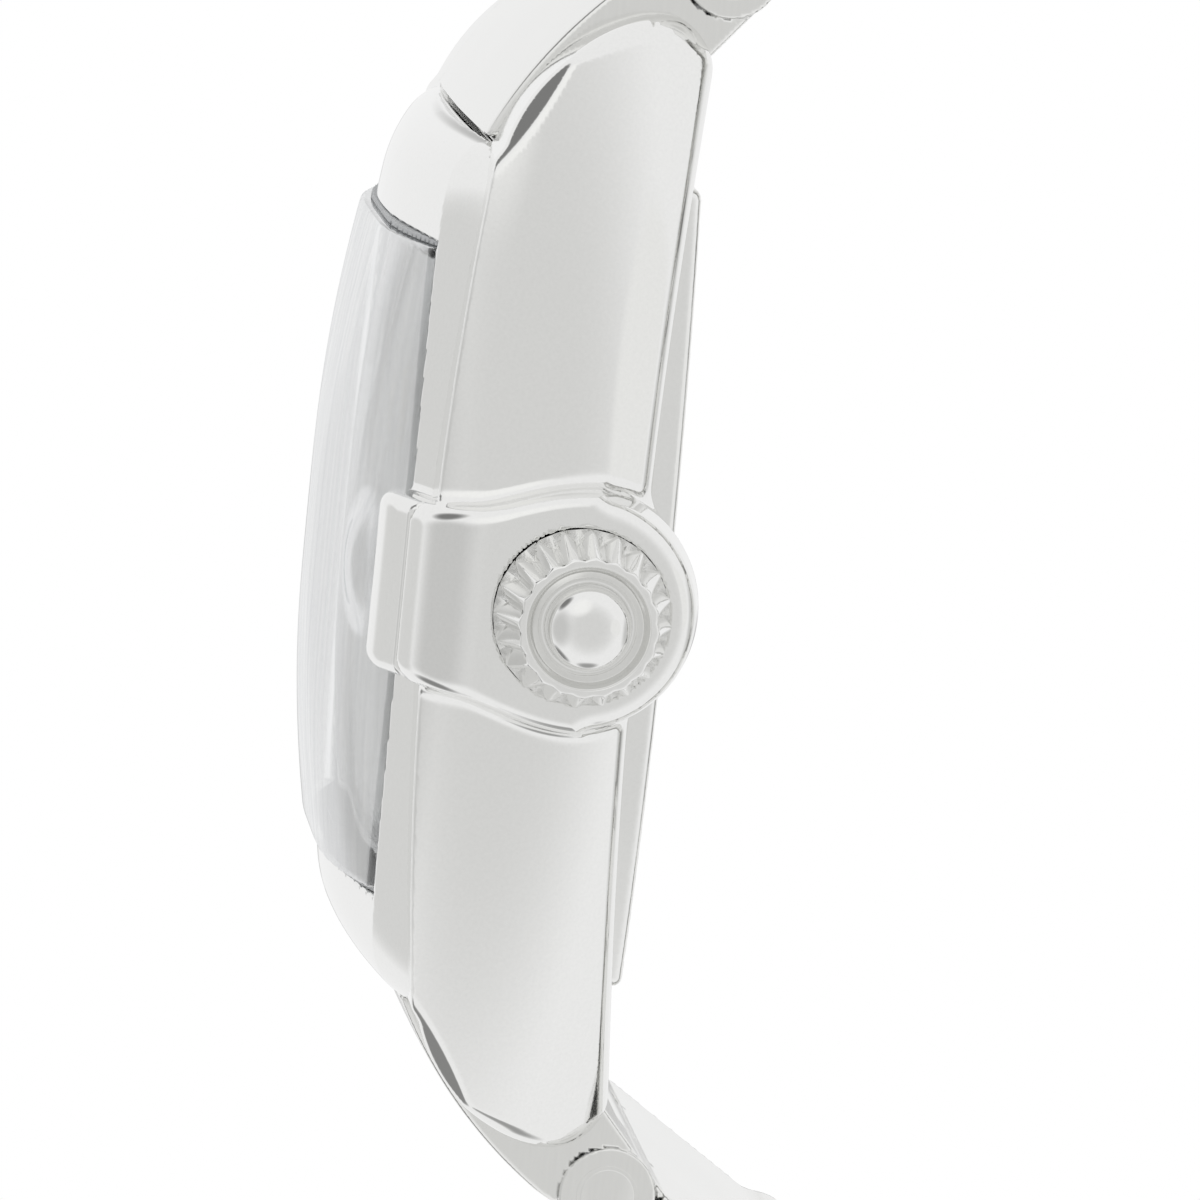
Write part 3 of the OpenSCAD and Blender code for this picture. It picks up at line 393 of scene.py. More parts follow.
def guard_outline(x, y, z):
    r = guard_root_r - guard_taper * np.clip((x - guard_root) / guard_reach, 0, 1)
    ring = np.hypot(y, z - crown_z) - r
    neck = np.maximum(np.abs(y) - neck_half_w - neck_flare * (neck_top_z - z), crown_z - z)
    return round_min(ring, neck, 0.8)


def guard(x, y, z):
    roll = np.hypot(np.maximum(x - roll_x, 0), z - roll_z) - roll_r
    front = np.where(z > roll_z, roll, x - guard_front)
    return np.maximum(round_max(guard_outline(x, y, z), front, 0.6), 12 - x)


print("the guard's face is", round(2 * (guard_root_r - guard_taper), 2), "mm across")

# %% [markdown]
# ## The middle case
#
# The middle case is the shell with its guard, cut from above by the bezel's seat. A recess takes the
# crown, slots between the lugs take the bracelet, and a pocket from below takes the case back. Boolean
# modifiers leave sharp and uneven edges, and here the cuts that show get a small round.

# %% Middle case
slot_half_w = 9.05
body_half_l = 13.1
recess_r = 2.58
recess_floor = 15.45
pocket_half = (11.65, 12.25)
pocket_depth = 1.1
opening_half = (11.25, 10.5)
case_low = (-14.9, -17.4, -0.8)
case_high = (16.2, 17.4, 8.7)


def barrel_shape(x, y, half):
    return np.maximum(across(x, y) - half[0], np.abs(y) - half[1])


def case_field(x, y, z):
    body = round_min(case_shell(x, y, z), guard(x, y, z), 0.5)
    above = np.maximum(-seam(y, z), np.minimum(x - neck_x, -guard_outline(x, y, z)))
    body = round_max(body, -above, 0.06)
    recess = np.maximum(np.hypot(y, z - crown_z) - recess_r, recess_floor - x)
    body = round_max(body, -recess, 0.08)
    lug_slot = np.maximum(np.abs(x) - slot_half_w, body_half_l - np.abs(y))
    body = round_max(body, -lug_slot, 0.2)
    pocket = np.maximum(barrel_shape(x, y, pocket_half), z - pocket_depth)
    body = round_max(body, -pocket, 0.12)
    return np.maximum(body, -barrel_shape(x, y, opening_half))


field_piece("middle_case", case_field, case_low, case_high, 0.12, "case", ["case_middle"])

# %% [markdown]
# ## The bezel's top
#
# The bezel is an arch both ways. Along the watch it falls slowly and rolls over at the ends, and across
# it follows the crystal's curve down to a ridge. From the ridge a twisted band runs out to the seam:
# almost flat at the middle and steep at the ends, because the seam drops and the ridge doesn't. A bent
# plate couldn't have that twist. As a height above each point it takes a few lines, and adding the cubes
# of the two arches' drops joins them without a crease.

# %% Bezel top
bezel_half_w = 14.4
bezel_crest = 10.03
ridge_w = 11.3
ridge_z = 7.9
band_bulge = 0.28
arch_across = 58.4
end_arch = 150
end_z = 9.45
end_roll_start = 10.9
end_roll_y = 10.464
end_roll_z = 5.69
end_roll_r = 3.0
end_bow = 0.3


def rim_height(w, y):
    inner = ridge_z + 0.2 * (ridge_w - w)
    t = np.clip((w - ridge_w) / (bezel_half_w - ridge_w), 0, 1)
    seam_z = seam_centre + np.sqrt(seam_r ** 2 - y * y)
    band = ridge_z + (seam_z - ridge_z) * t + band_bulge * t * (1 - t)
    return np.where(w < ridge_w, inner, band)


def end_height(x, y):
    reach = np.abs(y) + end_bow * (x / 12.4) ** 2
    rolled = end_roll_z + np.sqrt(np.maximum(end_roll_r ** 2 - (reach - end_roll_y) ** 2, 0.01))
    return np.where(reach < end_roll_start, end_z - reach * reach / end_arch, rolled)


def bezel_top(x, y, z):
    w = across(x, y)
    low = np.minimum(rim_height(w, y), bezel_crest - w * w / arch_across + 0.03)
    drop = ((bezel_crest - low) ** 3 + (bezel_crest - end_height(x, y)) ** 3) ** (1 / 3)
    return (z - bezel_crest + drop) * 0.95


print("height of the bezel's end at 12 o'clock:", round(float(end_height(0.0, 12.4)), 2), "mm")

# %% [markdown]
# ## The bezel
#
# At 3 o'clock a lobe stands up from the bezel and meets the guard's neck. Below, a skirt goes into the
# case, and above lies the crystal's seat. The outer wall follows the flank, 0.015 mm inside it: at the
# same place, the two meshes would show through each other as a jagged line.

# %% Bezel
bezel_half_l = 13.05
bezel_inset = 0.015
bezel_reach = 0.18
lobe_half_w = 2.65
lobe_top_z = 8.87
neck_gap = 0.05
seat_half = (10.95, 9.95)
seat_z = 7.3
bezel_hole = (9.7, 8.8)
skirt_half = (11.2, 10.45)
skirt_low = 5.65


def lobe(x, y, z):
    top = z - lobe_top_z - 0.08 * (x - 11)
    face = 0.433 * (x - 12.05) + 0.901 * (z - 8.95)
    body = round_max(np.abs(y) - lobe_half_w, round_max(top, face, 0.5), 0.5)
    return np.maximum(round_max(body, 10.95 - x, 0.3), x - neck_x + neck_gap)


def bezel_field(x, y, z):
    w = across(x, y)
    wall = np.maximum(w - bezel_half_w, flank_side(w, z) + bezel_inset)
    outer = round_max(bezel_top(x, y, z), wall, 0.12)
    outer = round_max(outer, np.abs(y) - bezel_half_l, 0.15)
    outer = round_min(outer, lobe(x, y, z), 0.3)
    outer = round_max(outer, -bezel_reach - seam(y, z), 0.05)
    neck = np.maximum(guard_outline(x, y, z) - neck_gap, neck_x - neck_gap - x)
    outer = np.maximum(outer, -neck)
    skirt = shared(barrel_shape(x, y, skirt_half), skirt_low - z, z - seat_z)
    seat = np.maximum(barrel_shape(x, y, seat_half), seat_z - z)
    body = round_max(np.minimum(outer, skirt), -seat, 0.06)
    return np.maximum(body, -barrel_shape(x, y, bezel_hole))


field_piece("bezel_ring", bezel_field, (-14.5, -13.2, 5.5), (14.5, 13.2, 9.3), 0.14, "case", ["bezel"])

# %% [markdown]
# ## The crystal
#
# The crystal is arched both ways like the bezel. A small lens over the date rises from it at 3 o'clock. A
# flat pane could do from the front, but from the side the arch is all that shows. The lower side follows
# the upper one, and a thin seal fills the gap to the bezel.

# %% Crystal
crystal_crest = 10.05
arch_along = 101
crystal_half = (10.75, 9.75)
pane_thickness = 1.2
hollow_half = (10.2, 9.2)
lens_x = 7.45
lens_top = 9.45
lens_r = 4.284


def crystal_height(x, y):
    w = across(x, y)
    return crystal_crest - ((w * w / arch_across) ** 3 + (y * y / arch_along) ** 3) ** (1 / 3)


def crystal_field(x, y, z):
    top = z - crystal_height(x, y)
    lens = np.sqrt((x - lens_x) ** 2 + y ** 2 + (z - lens_top + lens_r) ** 2) - lens_r
    form = round_min(top, lens, 0.2)
    form = round_max(form, barrel_shape(x, y, crystal_half), 0.1)
    form = np.maximum(form, seat_z - z)
    hollow = np.maximum(top + pane_thickness, barrel_shape(x, y, hollow_half))
    return np.maximum(form, -hollow)


def seal_field(x, y, z):
    ring = shared(barrel_shape(x, y, seat_half), z - crystal_height(x, y) + 0.3, seat_z - z)
    return np.maximum(ring, -barrel_shape(x, y, crystal_half))


field_piece("crystal_pane", crystal_field, (-10.8, -9.8, 7.2), (10.8, 9.8, 10.1), 0.15,
            "case", ["crystal"], "crystal_glass")
field_piece("crystal_seal", seal_field, (-11, -10, 7.2), (11, 10, 9.9), 0.1,
            "case", ["crystal_gasket"], "seal_rubber")

# %% [markdown]
# ## The case back
#
# The back is a plate with rounded edges in the pocket under the case. A thin groove frames its middle,
# and four bores take slotted screws. The groove could be a dark line in the material, but a real cut
# catches the light on its edges.

# %% Case back
back_half = (11.6, 12.2)
back_thickness = 1.1
step_half = (10.9, 10.15)
groove_half = (10.3, 9.5)
screw_x = 8.85
screw_y = 11.05
screw_bore_r = 0.75


def back_field(x, y, z):
    w = across(x, y)
    abs_y = np.abs(y)
    plate = round_max(w - back_half[0], abs_y - back_half[1], 0.3)
    plate = round_max(plate, np.abs(z - back_thickness / 2) - back_thickness / 2, 0.3)
    step = shared(barrel_shape(x, y, step_half), z - 1.6, 0.8 - z)
    body = np.minimum(plate, step)
    groove = np.maximum(np.abs(barrel_shape(x, y, groove_half)) - 0.12, z - 0.14)
    bore = np.maximum(np.hypot(np.abs(x) - screw_x, abs_y - screw_y) - screw_bore_r, z - 0.45)
    return round_max(np.maximum(body, -bore), -groove, 0.05)


def screw_field(x, y, z):
    from_axis = np.hypot(np.abs(x) - screw_x, np.abs(y) - screw_y)
    head = round_max(from_axis - 0.7, np.abs(z - 0.3) - 0.2, 0.08)
    slot = np.maximum(np.abs(np.abs(y) - screw_y) - 0.11, z - 0.26)
    shank = np.maximum(from_axis - 0.4, np.abs(z - 1.6) - 1.3)
    return np.minimum(np.maximum(head, -slot), shank)


field_piece("back_plate", back_field, (-11.7, -12.3, -0.1), (11.7, 12.3, 1.7), 0.15, "case", ["case_back"])
field_piece("back_screws_slotted", screw_field, (-9.7, -11.9, 0), (9.7, 11.9, 3), 0.07,
            "case", ["back_screws"], "small_steel")

# %% [markdown]
# ## Turning a profile
#
# A crown is turned on a lathe: its outline goes once round the axis. Blender's Screw modifier does that
# too, but it can't press grooves into the skirt. This helper sets a ring of points for each place of the
# outline and takes a V off the radius for each groove.

# %% Turning
tip_r = 0.004


def turned(profile, spokes, centre, grooves=0, depth=None):
    points = []
    angles = np.linspace(0, 2 * np.pi, spokes, endpoint=False)
    for i, (along, r) in enumerate(profile):
        radius = np.full(spokes, float(r))
        if grooves and depth[i]:
            phase = (angles * grooves / (2 * np.pi)) % 1
            radius -= depth[i] * (1 - np.abs(2 * phase - 1)) ** 1.2
        ring = np.stack([np.full(spokes, along), radius * np.cos(angles), radius * np.sin(angles)], -1)
        points.append(ring + np.array([0, centre[1], centre[2]]))
    faces = []
    for i in range(len(profile) - 1):
        start = i * spokes
        above = start + spokes
        for k in range(spokes):
            n = (k + 1) % spokes
            faces.append((start + k, start + n, above + n, above + k))
    return np.concatenate(points), faces


print("faces of a plain turned rod:", len(turned([(0, 1), (1, 1)], 64, (0, 0, 0))[1]))

# %% [markdown]
# ## The crown
#
# Twenty V grooves are pressed into the skirt and run out on the cone towards the front. A bump texture
# could fake them, but not the toothed outline. Behind them a narrow rim, a little wider than the recess,
# hides the gap to the guard. Inside the front ring lies a dish with a groove, and a polished dome stands
# in its middle. Each row of the outline is the place along the axis, the radius and the grooves' depth
# there. The dome is a quarter of an ellipse.

# %% Crown
crown_grooves = 20
crown_spokes = 400
dome_steps = 18
dome_base = 18.45
dome_rise = 0.93
dome_r = 1.25
SKIRT = [(15.9, 1.2, 0), (15.75, 1.25, 0), (15.72, 2.3, 0), (15.74, 2.42, 0), (15.84, 2.52, 0),
         (16.1, 2.54, 0), (16.16, 2.55, 0), (16.18, 2.59, 0), (16.2, 2.61, 0.02), (16.42, 2.61, 0.37),
         (16.85, 2.61, 0.37)]
CONE = [(16.95, 2.58, 0.37), (17.5, 2.38, 0.29), (18.0, 2.22, 0.22), (18.36, 2.10, 0.14), (18.45, 2.06, 0.07),
        (18.49, 2.0, 0.02)]
DISH = [(18.49, 1.85, 0), (18.46, 1.80, 0), (18.3, 1.71, 0), (18.14, 1.64, 0), (18.1, 1.6, 0),
        (18.1, 1.48, 0), (18.07, 1.44, 0), (17.98, 1.41, 0), (17.98, 1.30, 0), (18.05, 1.26, 0),
        (18.42, 1.25, 0)]
outline = SKIRT + CONE + DISH
for k in range(1, dome_steps + 1):
    a = k / dome_steps * math.pi / 2
    outline.append((dome_base + dome_rise * math.sin(a), max(dome_r * math.cos(a), tip_r), 0))
profile = [(along, r) for along, r, _ in outline]
groove_depth = [depth for _, _, depth in outline]
points, faces = turned(profile, crown_spokes, (0, 0, crown_z), crown_grooves, groove_depth)
add_piece("crown_knob", points, faces, "crown", ["crown"])
print("rings of the crown:", len(profile))

# %% [markdown]
# ## End pieces
#
# Between the lugs an end piece takes the curve of the case over in one arc and carries the first hinge.
# The middle knuckle's place is left free for the first link. Block, barrel and pin could be meshes pushed
# into each other, but the union of their fields has no hidden faces.

# %% End pieces
pin_r = 0.6
barrel_r = 1.5
first_pin = np.array([18.8, -0.3])
end_half_w = 8.95
block_half_w = 8.78
knuckle_gap = 4.25
end_crest = (6.62, -7.08)
end_crest_r = 15.3
end_start = 13.15


def end_piece_field(side):
    def field(x, y, z):
        y = side * y
        abs_x = np.abs(x)
        crest = np.hypot(y - end_crest[0], z - end_crest[1]) - end_crest_r + 0.15 * (x / 9) ** 2
        inner_floor = 0.9 - 0.263 * (y - end_start) - z
        outer_floor = -0.645 * (y - 16.0) - 0.764 * (z - 0.15)
        block = round_max(crest, np.minimum(inner_floor, outer_floor), 0.15)
        tip = 0.943 * (y - 19.0) + 0.332 * (z - 1.91)
        barrel = np.hypot(y - first_pin[0], z - first_pin[1])
        hood = np.where(z < first_pin[1], y - first_pin[0], tip)
        block = round_max(round_max(block, hood, 0.2), end_start - y, 0.1)
        knuckle = round_max(barrel - barrel_r, abs_x - 8.93, 0.12)
        body = np.minimum(round_max(block, abs_x - block_half_w, 0.2), knuckle)
        slot = np.maximum(abs_x - knuckle_gap, barrel - barrel_r - 0.1)
        body = round_max(body, -slot, 0.1)
        pin = np.maximum(barrel - pin_r, abs_x - 8.8)
        return np.minimum(body, pin)
    return field


for side, hour in ((1, "12"), (-1, "6")):
    low = (-9.0, min(side * 13.1, side * 20.4), -1.9)
    high = (9.0, max(side * 13.1, side * 20.4), 7.4)
    field_piece("end_link_" + hour, end_piece_field(side), low, high, 0.14, "case",
                ["end_piece_" + hour], "bracelet_steel")

# %% [markdown]
# ## The bracelet's circle
#
# All hinge pins of the closed bracelet lie on one circle, and each link spans the same angle of it. Links
# placed by hand would add up small gaps, so the angle follows from the circle, the first pin and the gap
# where the two ends meet.

# %% Bracelet circle
loop_r = 26.0
links_a = 6
links_b = 8
meeting_gap = 3.3
loop_z = first_pin[1] - math.sqrt(loop_r ** 2 - first_pin[0] ** 2)
start_angle = math.degrees(math.acos(first_pin[0] / loop_r))
meeting_angle = 2 * math.degrees(math.asin(meeting_gap / 2 / loop_r))
link_turn = (180 + 2 * start_angle - meeting_angle) / (links_a + links_b)
clasp_half_w = 7.5
CHAINS = (("a", links_a, 1), ("b", links_b, -1))


def joint_at(k):
    a = math.radians(start_angle - k * link_turn)
    return np.array([loop_r * math.cos(a), loop_z + loop_r * math.sin(a)])


def link_width(k, count):
    return end_half_w + (clasp_half_w - end_half_w) * k / count


print("each link turns by", round(link_turn, 2), "degrees")

# %% [markdown]
# ## Links
#
# A link has one wide knuckle at its near pin and two outer knuckles at its far pin, and it carries the
# far pin. The widths shrink from the case to the clasp. Scaled copies of one mesh would shrink the
# knuckles too, so each link is meshed from the same field with its own width. The bores and the space
# around a neighbour's barrel leave room to fold.

# %% Links
plate_half = 1.12
free_r = 1.66
bore_gap = 0.15
side_gap = 0.04
knuckle_half_w = 4.15
last_cut = 3.4


def link_field(near, far, side, half_w, last):
    length = np.linalg.norm(far - near)
    along = (far - near) / length
    normal = np.array([-along[1], along[0]])

    def field(x, y, z):
        y = side * y
        abs_x = np.abs(x)
        u = (y - near[0]) * along[0] + (z - near[1]) * along[1]
        v = (y - near[0]) * normal[0] + (z - near[1]) * normal[1]
        plate = np.abs(v) - plate_half
        near_r = np.hypot(u, v)
        far_r = np.hypot(u - length, v)
        middle = round_min(near_r - barrel_r, round_max(plate, np.abs(u - 1.2) - 1.2, 0.1), 0.2)
        middle = round_max(middle, abs_x - knuckle_half_w, 0.2)
        bridge = shared(plate, free_r - near_r, free_r - far_r, -u, u - length)
        bridge = round_max(round_max(bridge, abs_x - half_w + side_gap, 0.25), free_r - near_r, 0.15)
        outer = round_min(far_r - barrel_r, shared(plate, u - length, 2.4 - u), 0.2)
        outer = round_max(outer, free_r - near_r, 0.1)
        outer = round_max(round_max(outer, abs_x - half_w + side_gap, 0.25), knuckle_gap - abs_x, 0.15)
        body = np.minimum(np.minimum(middle, bridge), outer)
        body = np.maximum(body, -np.maximum(near_r - pin_r - bore_gap, abs_x - 5.2))
        pin = np.maximum(far_r - pin_r, abs_x - half_w + 0.1)
        if last:
            pin = np.maximum(pin, knuckle_gap - abs_x)
            body = np.maximum(body, -np.maximum(abs_x - knuckle_gap, length - last_cut - u))
        return np.minimum(body, pin)
    return field


for chain, count, side in CHAINS:
    for k in range(1, count + 1):
        near = joint_at(k - 1)
        far = joint_at(k)
        width = link_width(k, count)
        field = link_field(near, far, side, width, chain == "a" and k == count)
        ys = sorted([side * near[0], side * far[0]])
        zs = sorted([near[1], far[1]])
        low = (-width, ys[0] - 1.6, zs[0] - 1.6)
        high = (width, ys[1] + 1.6, zs[1] + 1.6)
        name = f"link_{chain}{k}"
        field_piece(name + "_body", field, low, high, 0.2, name, [name], "bracelet_steel")

# %% [markdown]
# ## Pin heads
#
# Each hinge pin shows as a flat head in the barrel's end, set off by a narrow ring. A bump texture could
# fake the ring, but not its outline from the side. So the heads are turned, mirrored to the other side,
# and ride on the body that carries the pin.

# %% Pin heads
def pin_heads(name, body, y, z, half_w):
    outline = [(half_w - 0.3, 0.96), (half_w - 0.02, 0.95), (half_w - 0.005, 0.94), (half_w - 0.03, 0.92),
               (half_w - 0.1, 0.9), (half_w - 0.1, 0.86), (half_w - 0.03, 0.84), (half_w, 0.8),
               (half_w, tip_r)]
    points, faces = turned(outline, 64, (0, y, z))
    mirrored = points * np.array([-1, 1, 1])
    flipped = [tuple(len(points) + i for i in reversed(face)) for face in faces]
    add_piece(name, np.concatenate([points, mirrored]), faces + flipped, body, slot="bracelet_steel")


for side, hour in ((1, "12"), (-1, "6")):
    pin_heads("pin_heads_" + hour, "case", side * first_pin[0], first_pin[1], end_half_w)
for chain, count, side in CHAINS:
    for k in range(1, count + 1 - (chain == "a")):
        far = joint_at(k)
        pin_heads(f"pin_heads_{chain}{k}", f"link_{chain}{k}", side * far[0], far[1], link_width(k, count))
print("pieces so far:", len(pieces))

# %% [markdown]
# ## Roofed strips
#
# Hands and markers are roofed: a ridge runs along the middle and both sides slope down from it. A flat
# plate would show one even tone, while a roof splits it in a light and a dark half. The outline is laid
# at two heights, and a third copy with no width makes the ridge.

# %% Roofed strips
def roofed(outline, low, high, turn, shift=0.0):
    count = len(outline)
    ring = np.array(outline, float)
    ridge = np.stack([ring[:, 0], np.zeros(count)], -1)
    a = math.radians(turn)
    spin = np.array([[math.cos(a), -math.sin(a)], [math.sin(a), math.cos(a)]])
    layers = [(ring, low), (ring, (low + high) / 2), (ridge, high)]
    points = np.concatenate([np.column_stack([(flat + [shift, 0]) @ spin.T, np.full(count, z)])
                             for flat, z in layers])
    faces = [tuple(range(count - 1, -1, -1))]
    for start in (0, count):
        for i in range(count):
            j = (i + 1) % count
            faces.append((start + i, start + j, start + count + j, start + count + i))
    return points, faces


def joined(parts):
    points, faces = [], []
    for some, around in parts:
        start = sum(len(p) for p in points)
        points.append(some)
        faces += [tuple(start + i for i in face) for face in around]
    return np.concatenate(points), faces


print("faces of one roofed bar:", len(roofed([(0, -1), (3, -1), (3, 1), (0, 1)], 0, 1, 0)[1]))

# %% [markdown]
# ## Hands
#
# The hands are slim leaves on round bosses, with the outlines of the CAD part. They could be turned by
# keyframes, but a hand that rides on the wheel that drives it moves with the train. Each row is the node,
# the body, the length, the tail, the width, the height above the case back, the thickness, the boss's
# radius and the turn at rest.

# %% Hands
HANDS = (("hour_hand", "hours", 4.6, 1.0, 0.95, 5.9, 0.15, 0.95, -125),
         ("minute_hand", "minutes", 7.2, 1.3, 0.75, 6.25, 0.15, 0.7, 30),
         ("second_hand", "seconds", 7.6, 2.2, 0.2, 6.6, 0.1, 0.45, -160))


def leaf(length, tail, w):
    return [(-tail, -w * 0.3), (0, -w * 0.42), (length * 0.55, -w / 2), (length, -0.04),
            (length, 0.04), (length * 0.55, w / 2), (0, w * 0.42), (-tail, w * 0.3)]


def boss(r, low, high):
    outline = [(low, r), (high - 0.02, r), (high, r - 0.03), (high, tip_r)]
    points, faces = turned(outline, 64, (0, 0, 0))
    return points[:, [1, 2, 0]], faces


for name, body, length, tail, w, z, thickness, boss_r, turn in HANDS:
    top = z + thickness
    points, faces = joined([roofed(leaf(length, tail, w), z, top, turn), boss(boss_r, z, top)])
    add_piece(name + "_roofed", points, faces, body, [name], slot="bright_trim")
print("hands:", len(HANDS))

# %% [markdown]
# ## Hour markers
#
# The markers are applied bars that point to the centre and stand along a rounded rectangle. Eleven places
# by hand would be eleven chances for a mistake, so one helper finds how far out a bar reaches at each
# angle. At 3 o'clock the date window takes its place.

# %% Hour markers
dial_top = 5.65
marker_length = 1.15
marker_half_w = 0.16
marker_height = 0.18


def reach_at(turn, half_w, half_l, limit):
    a = math.radians(turn)
    return min(half_w / max(abs(math.cos(a)), 0.01), half_l / max(abs(math.sin(a)), 0.01), limit)


marker = [(0, -marker_half_w), (marker_length, -marker_half_w),
          (marker_length, marker_half_w), (0, marker_half_w)]
markers = []
for hour in range(1, 13):
    if hour != 3:
        turn = 90 - 30 * hour
        start = reach_at(turn, 8.5, 8.1, 9.2) - marker_length
        markers.append(roofed(marker, dial_top, dial_top + marker_height, turn, start))
points, faces = joined(markers)
add_piece("hour_markers_roofed", points, faces, "case", ["hour_markers"], slot="bright_trim")
print("hour markers:", len(markers))

# %% [markdown]
# ## Minute track
#
# A minute track is printed round the dial. Print has no thickness that shows, and an image would blur
# when the camera comes near. So each tick is a flat face a hundredth of a millimetre above the dial.

# %% Minute track
print_gap = 0.01
tick_half_w = 0.035


def flat_piece(name, outlines, z, body, slot):
    lifted = [(np.column_stack([flat, np.full(len(flat), z)]), around) for flat, around in outlines]
    points, faces = joined(lifted)
    add_piece(name, points, faces, body, slot=slot)


def spun(flat, turn):
    a = math.radians(turn)
    return flat @ np.array([[math.cos(a), math.sin(a)], [-math.sin(a), math.cos(a)]])


ticks = []
for minute in range(60):
    if minute != 15:
        turn = 90 - 6 * minute
        far = reach_at(turn, 9.25, 8.6, 10.2)
        near = far - (0.45 if minute % 5 == 0 else 0.28)
        flat = np.array([(near, -tick_half_w), (far, -tick_half_w), (far, tick_half_w), (near, tick_half_w)])
        ticks.append((spun(flat, turn), [(0, 1, 2, 3)]))
flat_piece("minute_track", ticks, dial_top + print_gap, "case", "dial_silver")
print("ticks:", len(ticks))

# %% [markdown]
# ## Date numbers
#
# The date ring carries the numbers 1 to 31, and the window shows one of them. An image of them would blur
# too, so each number is written as a text object and turned into a flat mesh. The text object is removed
# again.

# %% Date numbers
number_size = 1.0
number_place = 7.45
date_ring_top = 4.7 + 0.03 + 0.3


def number_outline(value, size):
    curve = bpy.data.curves.new("number", "FONT")
    curve.body = str(value)
    curve.size = size
    curve.align_x = "CENTER"
    curve.align_y = "CENTER"
    curve.resolution_u = 3
    holder = in_scene("number", curve)
    mesh = bpy.data.meshes.new_from_object(holder.evaluated_get(bpy.context.evaluated_depsgraph_get()))
    flat = np.array([v.co[:2] for v in mesh.vertices])
    faces = [tuple(p.vertices) for p in mesh.polygons]
    bpy.data.objects.remove(holder)
    bpy.data.meshes.remove(mesh)
    bpy.data.curves.remove(curve)
    return flat, faces


numbers = []
for day in range(1, 32):
    flat, faces = number_outline(day, number_size)
    numbers.append((spun(flat + np.array([number_place, 0]), (1 - day) * 360 / 31), faces))
flat_piece("date_numbers", numbers, date_ring_top + print_gap, "date", "date_white")
print("date numbers:", len(numbers))

# %% [markdown]
# ## Nodes
#
# A material in Blender is a net of nodes. It could be drawn by hand in the shader editor, but a script can be
# read and repeated. One helper makes a node and fills its inputs: a plain value is set, and the output of
# another node is linked.

# %% Node helpers
def fill(tree, node, inputs):
    for key, value in dict(inputs).items():
        if isinstance(value, bpy.types.NodeSocket):
            tree.links.new(value, node.inputs[key])
        else:
            node.inputs[key].default_value = value


def new_node(tree, kind, inputs=()):
    node = tree.nodes.new("ShaderNode" + kind)
    fill(tree, node, inputs)
    return node


print("node trees so far:", len(bpy.data.node_groups))

# %% [markdown]
# ## The finish masks
#
# Even a polished watch has a fine grain, and a polish that isn't the same everywhere. Without them a
# shader looks like plastic. Each material could have its own noise, but one shared node group serves for
# steel, brass and paint: Grain is fine and can be stretched into lines, and Cloud changes slowly.

# %% Finish group
grain_scale = 9000
cloud_scale = 260


def finish_group():
    group = bpy.data.node_groups.new("finish", "ShaderNodeTree")
    for name, kind, value in (("Scale", "NodeSocketFloat", 1.0), ("Stretch", "NodeSocketVector", (1, 1, 1))):
        socket = group.interface.new_socket(name=name, in_out="INPUT", socket_type=kind)
        socket.default_value = value
    for name in ("Grain", "Cloud"):
        group.interface.new_socket(name=name, in_out="OUTPUT", socket_type="NodeSocketFloat")
    entry = group.nodes.new("NodeGroupInput")
    end = group.nodes.new("NodeGroupOutput")
    place = new_node(group, "TexCoord").outputs["Object"]
    stretch = new_node(group, "VectorMath", {0: place, 1: entry.outputs["Stretch"]})
    stretch.operation = "MULTIPLY"
    times = new_node(group, "Math", {0: entry.outputs["Scale"], 1: grain_scale})
    times.operation = "MULTIPLY"
    grain = new_node(group, "TexNoise", {"Scale": times.outputs[0], "Detail": 3,
                                         "Vector": stretch.outputs[0]})
    cloud = new_node(group, "TexNoise", {"Scale": cloud_scale, "Detail": 4, "Vector": place})
    fill(group, end, {"Grain": grain.outputs[0], "Cloud": cloud.outputs[0]})
    return group


FINISH = finish_group()
print("masks:", [item.name for item in FINISH.interface.items_tree if item.in_out == "OUTPUT"])

# %% [markdown]
# ## Mask helpers
#
# Three small steps come back in the materials: place the masks, spread a mask over a range, and mix two
# colours by a mask. Each gets a helper, so that a material reads as what it does.

# %% Mask helpers
def finish_masks(tree, scale=1.0, stretch=(1, 1, 1)):
    masks = new_node(tree, "Group")
    masks.node_tree = FINISH
    fill(tree, masks, {"Scale": scale, "Stretch": stretch})
    return masks.outputs


def value_range(tree, mask, low, high):
    return new_node(tree, "MapRange", {"Value": mask, "To Min": low, "To Max": high}).outputs[0]


def colour_mix(tree, mask, low, high):
    mix = new_node(tree, "Mix")
    mix.data_type = "RGBA"
    fill(tree, mix, {"Factor": mask, "A": low, "B": high})
    return mix.outputs["Result"]


print("node groups:", len(bpy.data.node_groups))

# %% [markdown]
# ## Materials
#
# Steel is a metal with a very small roughness, and plastic and print are no metals and rougher. Cloud
# changes the roughness by the spread, and Grain darkens the colour by up to 6% and lifts the surface
# through a bump. The bracelet's grain is stretched along the watch. Built by hand, thirteen materials
# would repeat the same nodes, so one function makes them.

# %% Materials
grain_shade = 0.06
grain_height = 0.00005


def material(name, colour, metal, roughness, spread, bump, scale=1.0, stretch=(1, 1, 1)):
    made = bpy.data.materials.new(name)
    made.use_nodes = True
    tree = made.node_tree
    masks = finish_masks(tree, scale, stretch)
    rough = value_range(tree, masks["Cloud"], max(roughness - spread, 0.01), roughness + spread)
    dark = [c * (1 - grain_shade) for c in colour]
    tint = colour_mix(tree, masks["Grain"], (*dark, 1), (*colour, 1))
    relief = new_node(tree, "Bump", {"Strength": bump, "Distance": grain_height, "Height": masks["Grain"]})
    fill(tree, tree.nodes["Principled BSDF"], {"Metallic": metal, "Roughness": rough, "Base Color": tint,
                                               "Normal": relief.outputs[0]})
    return made


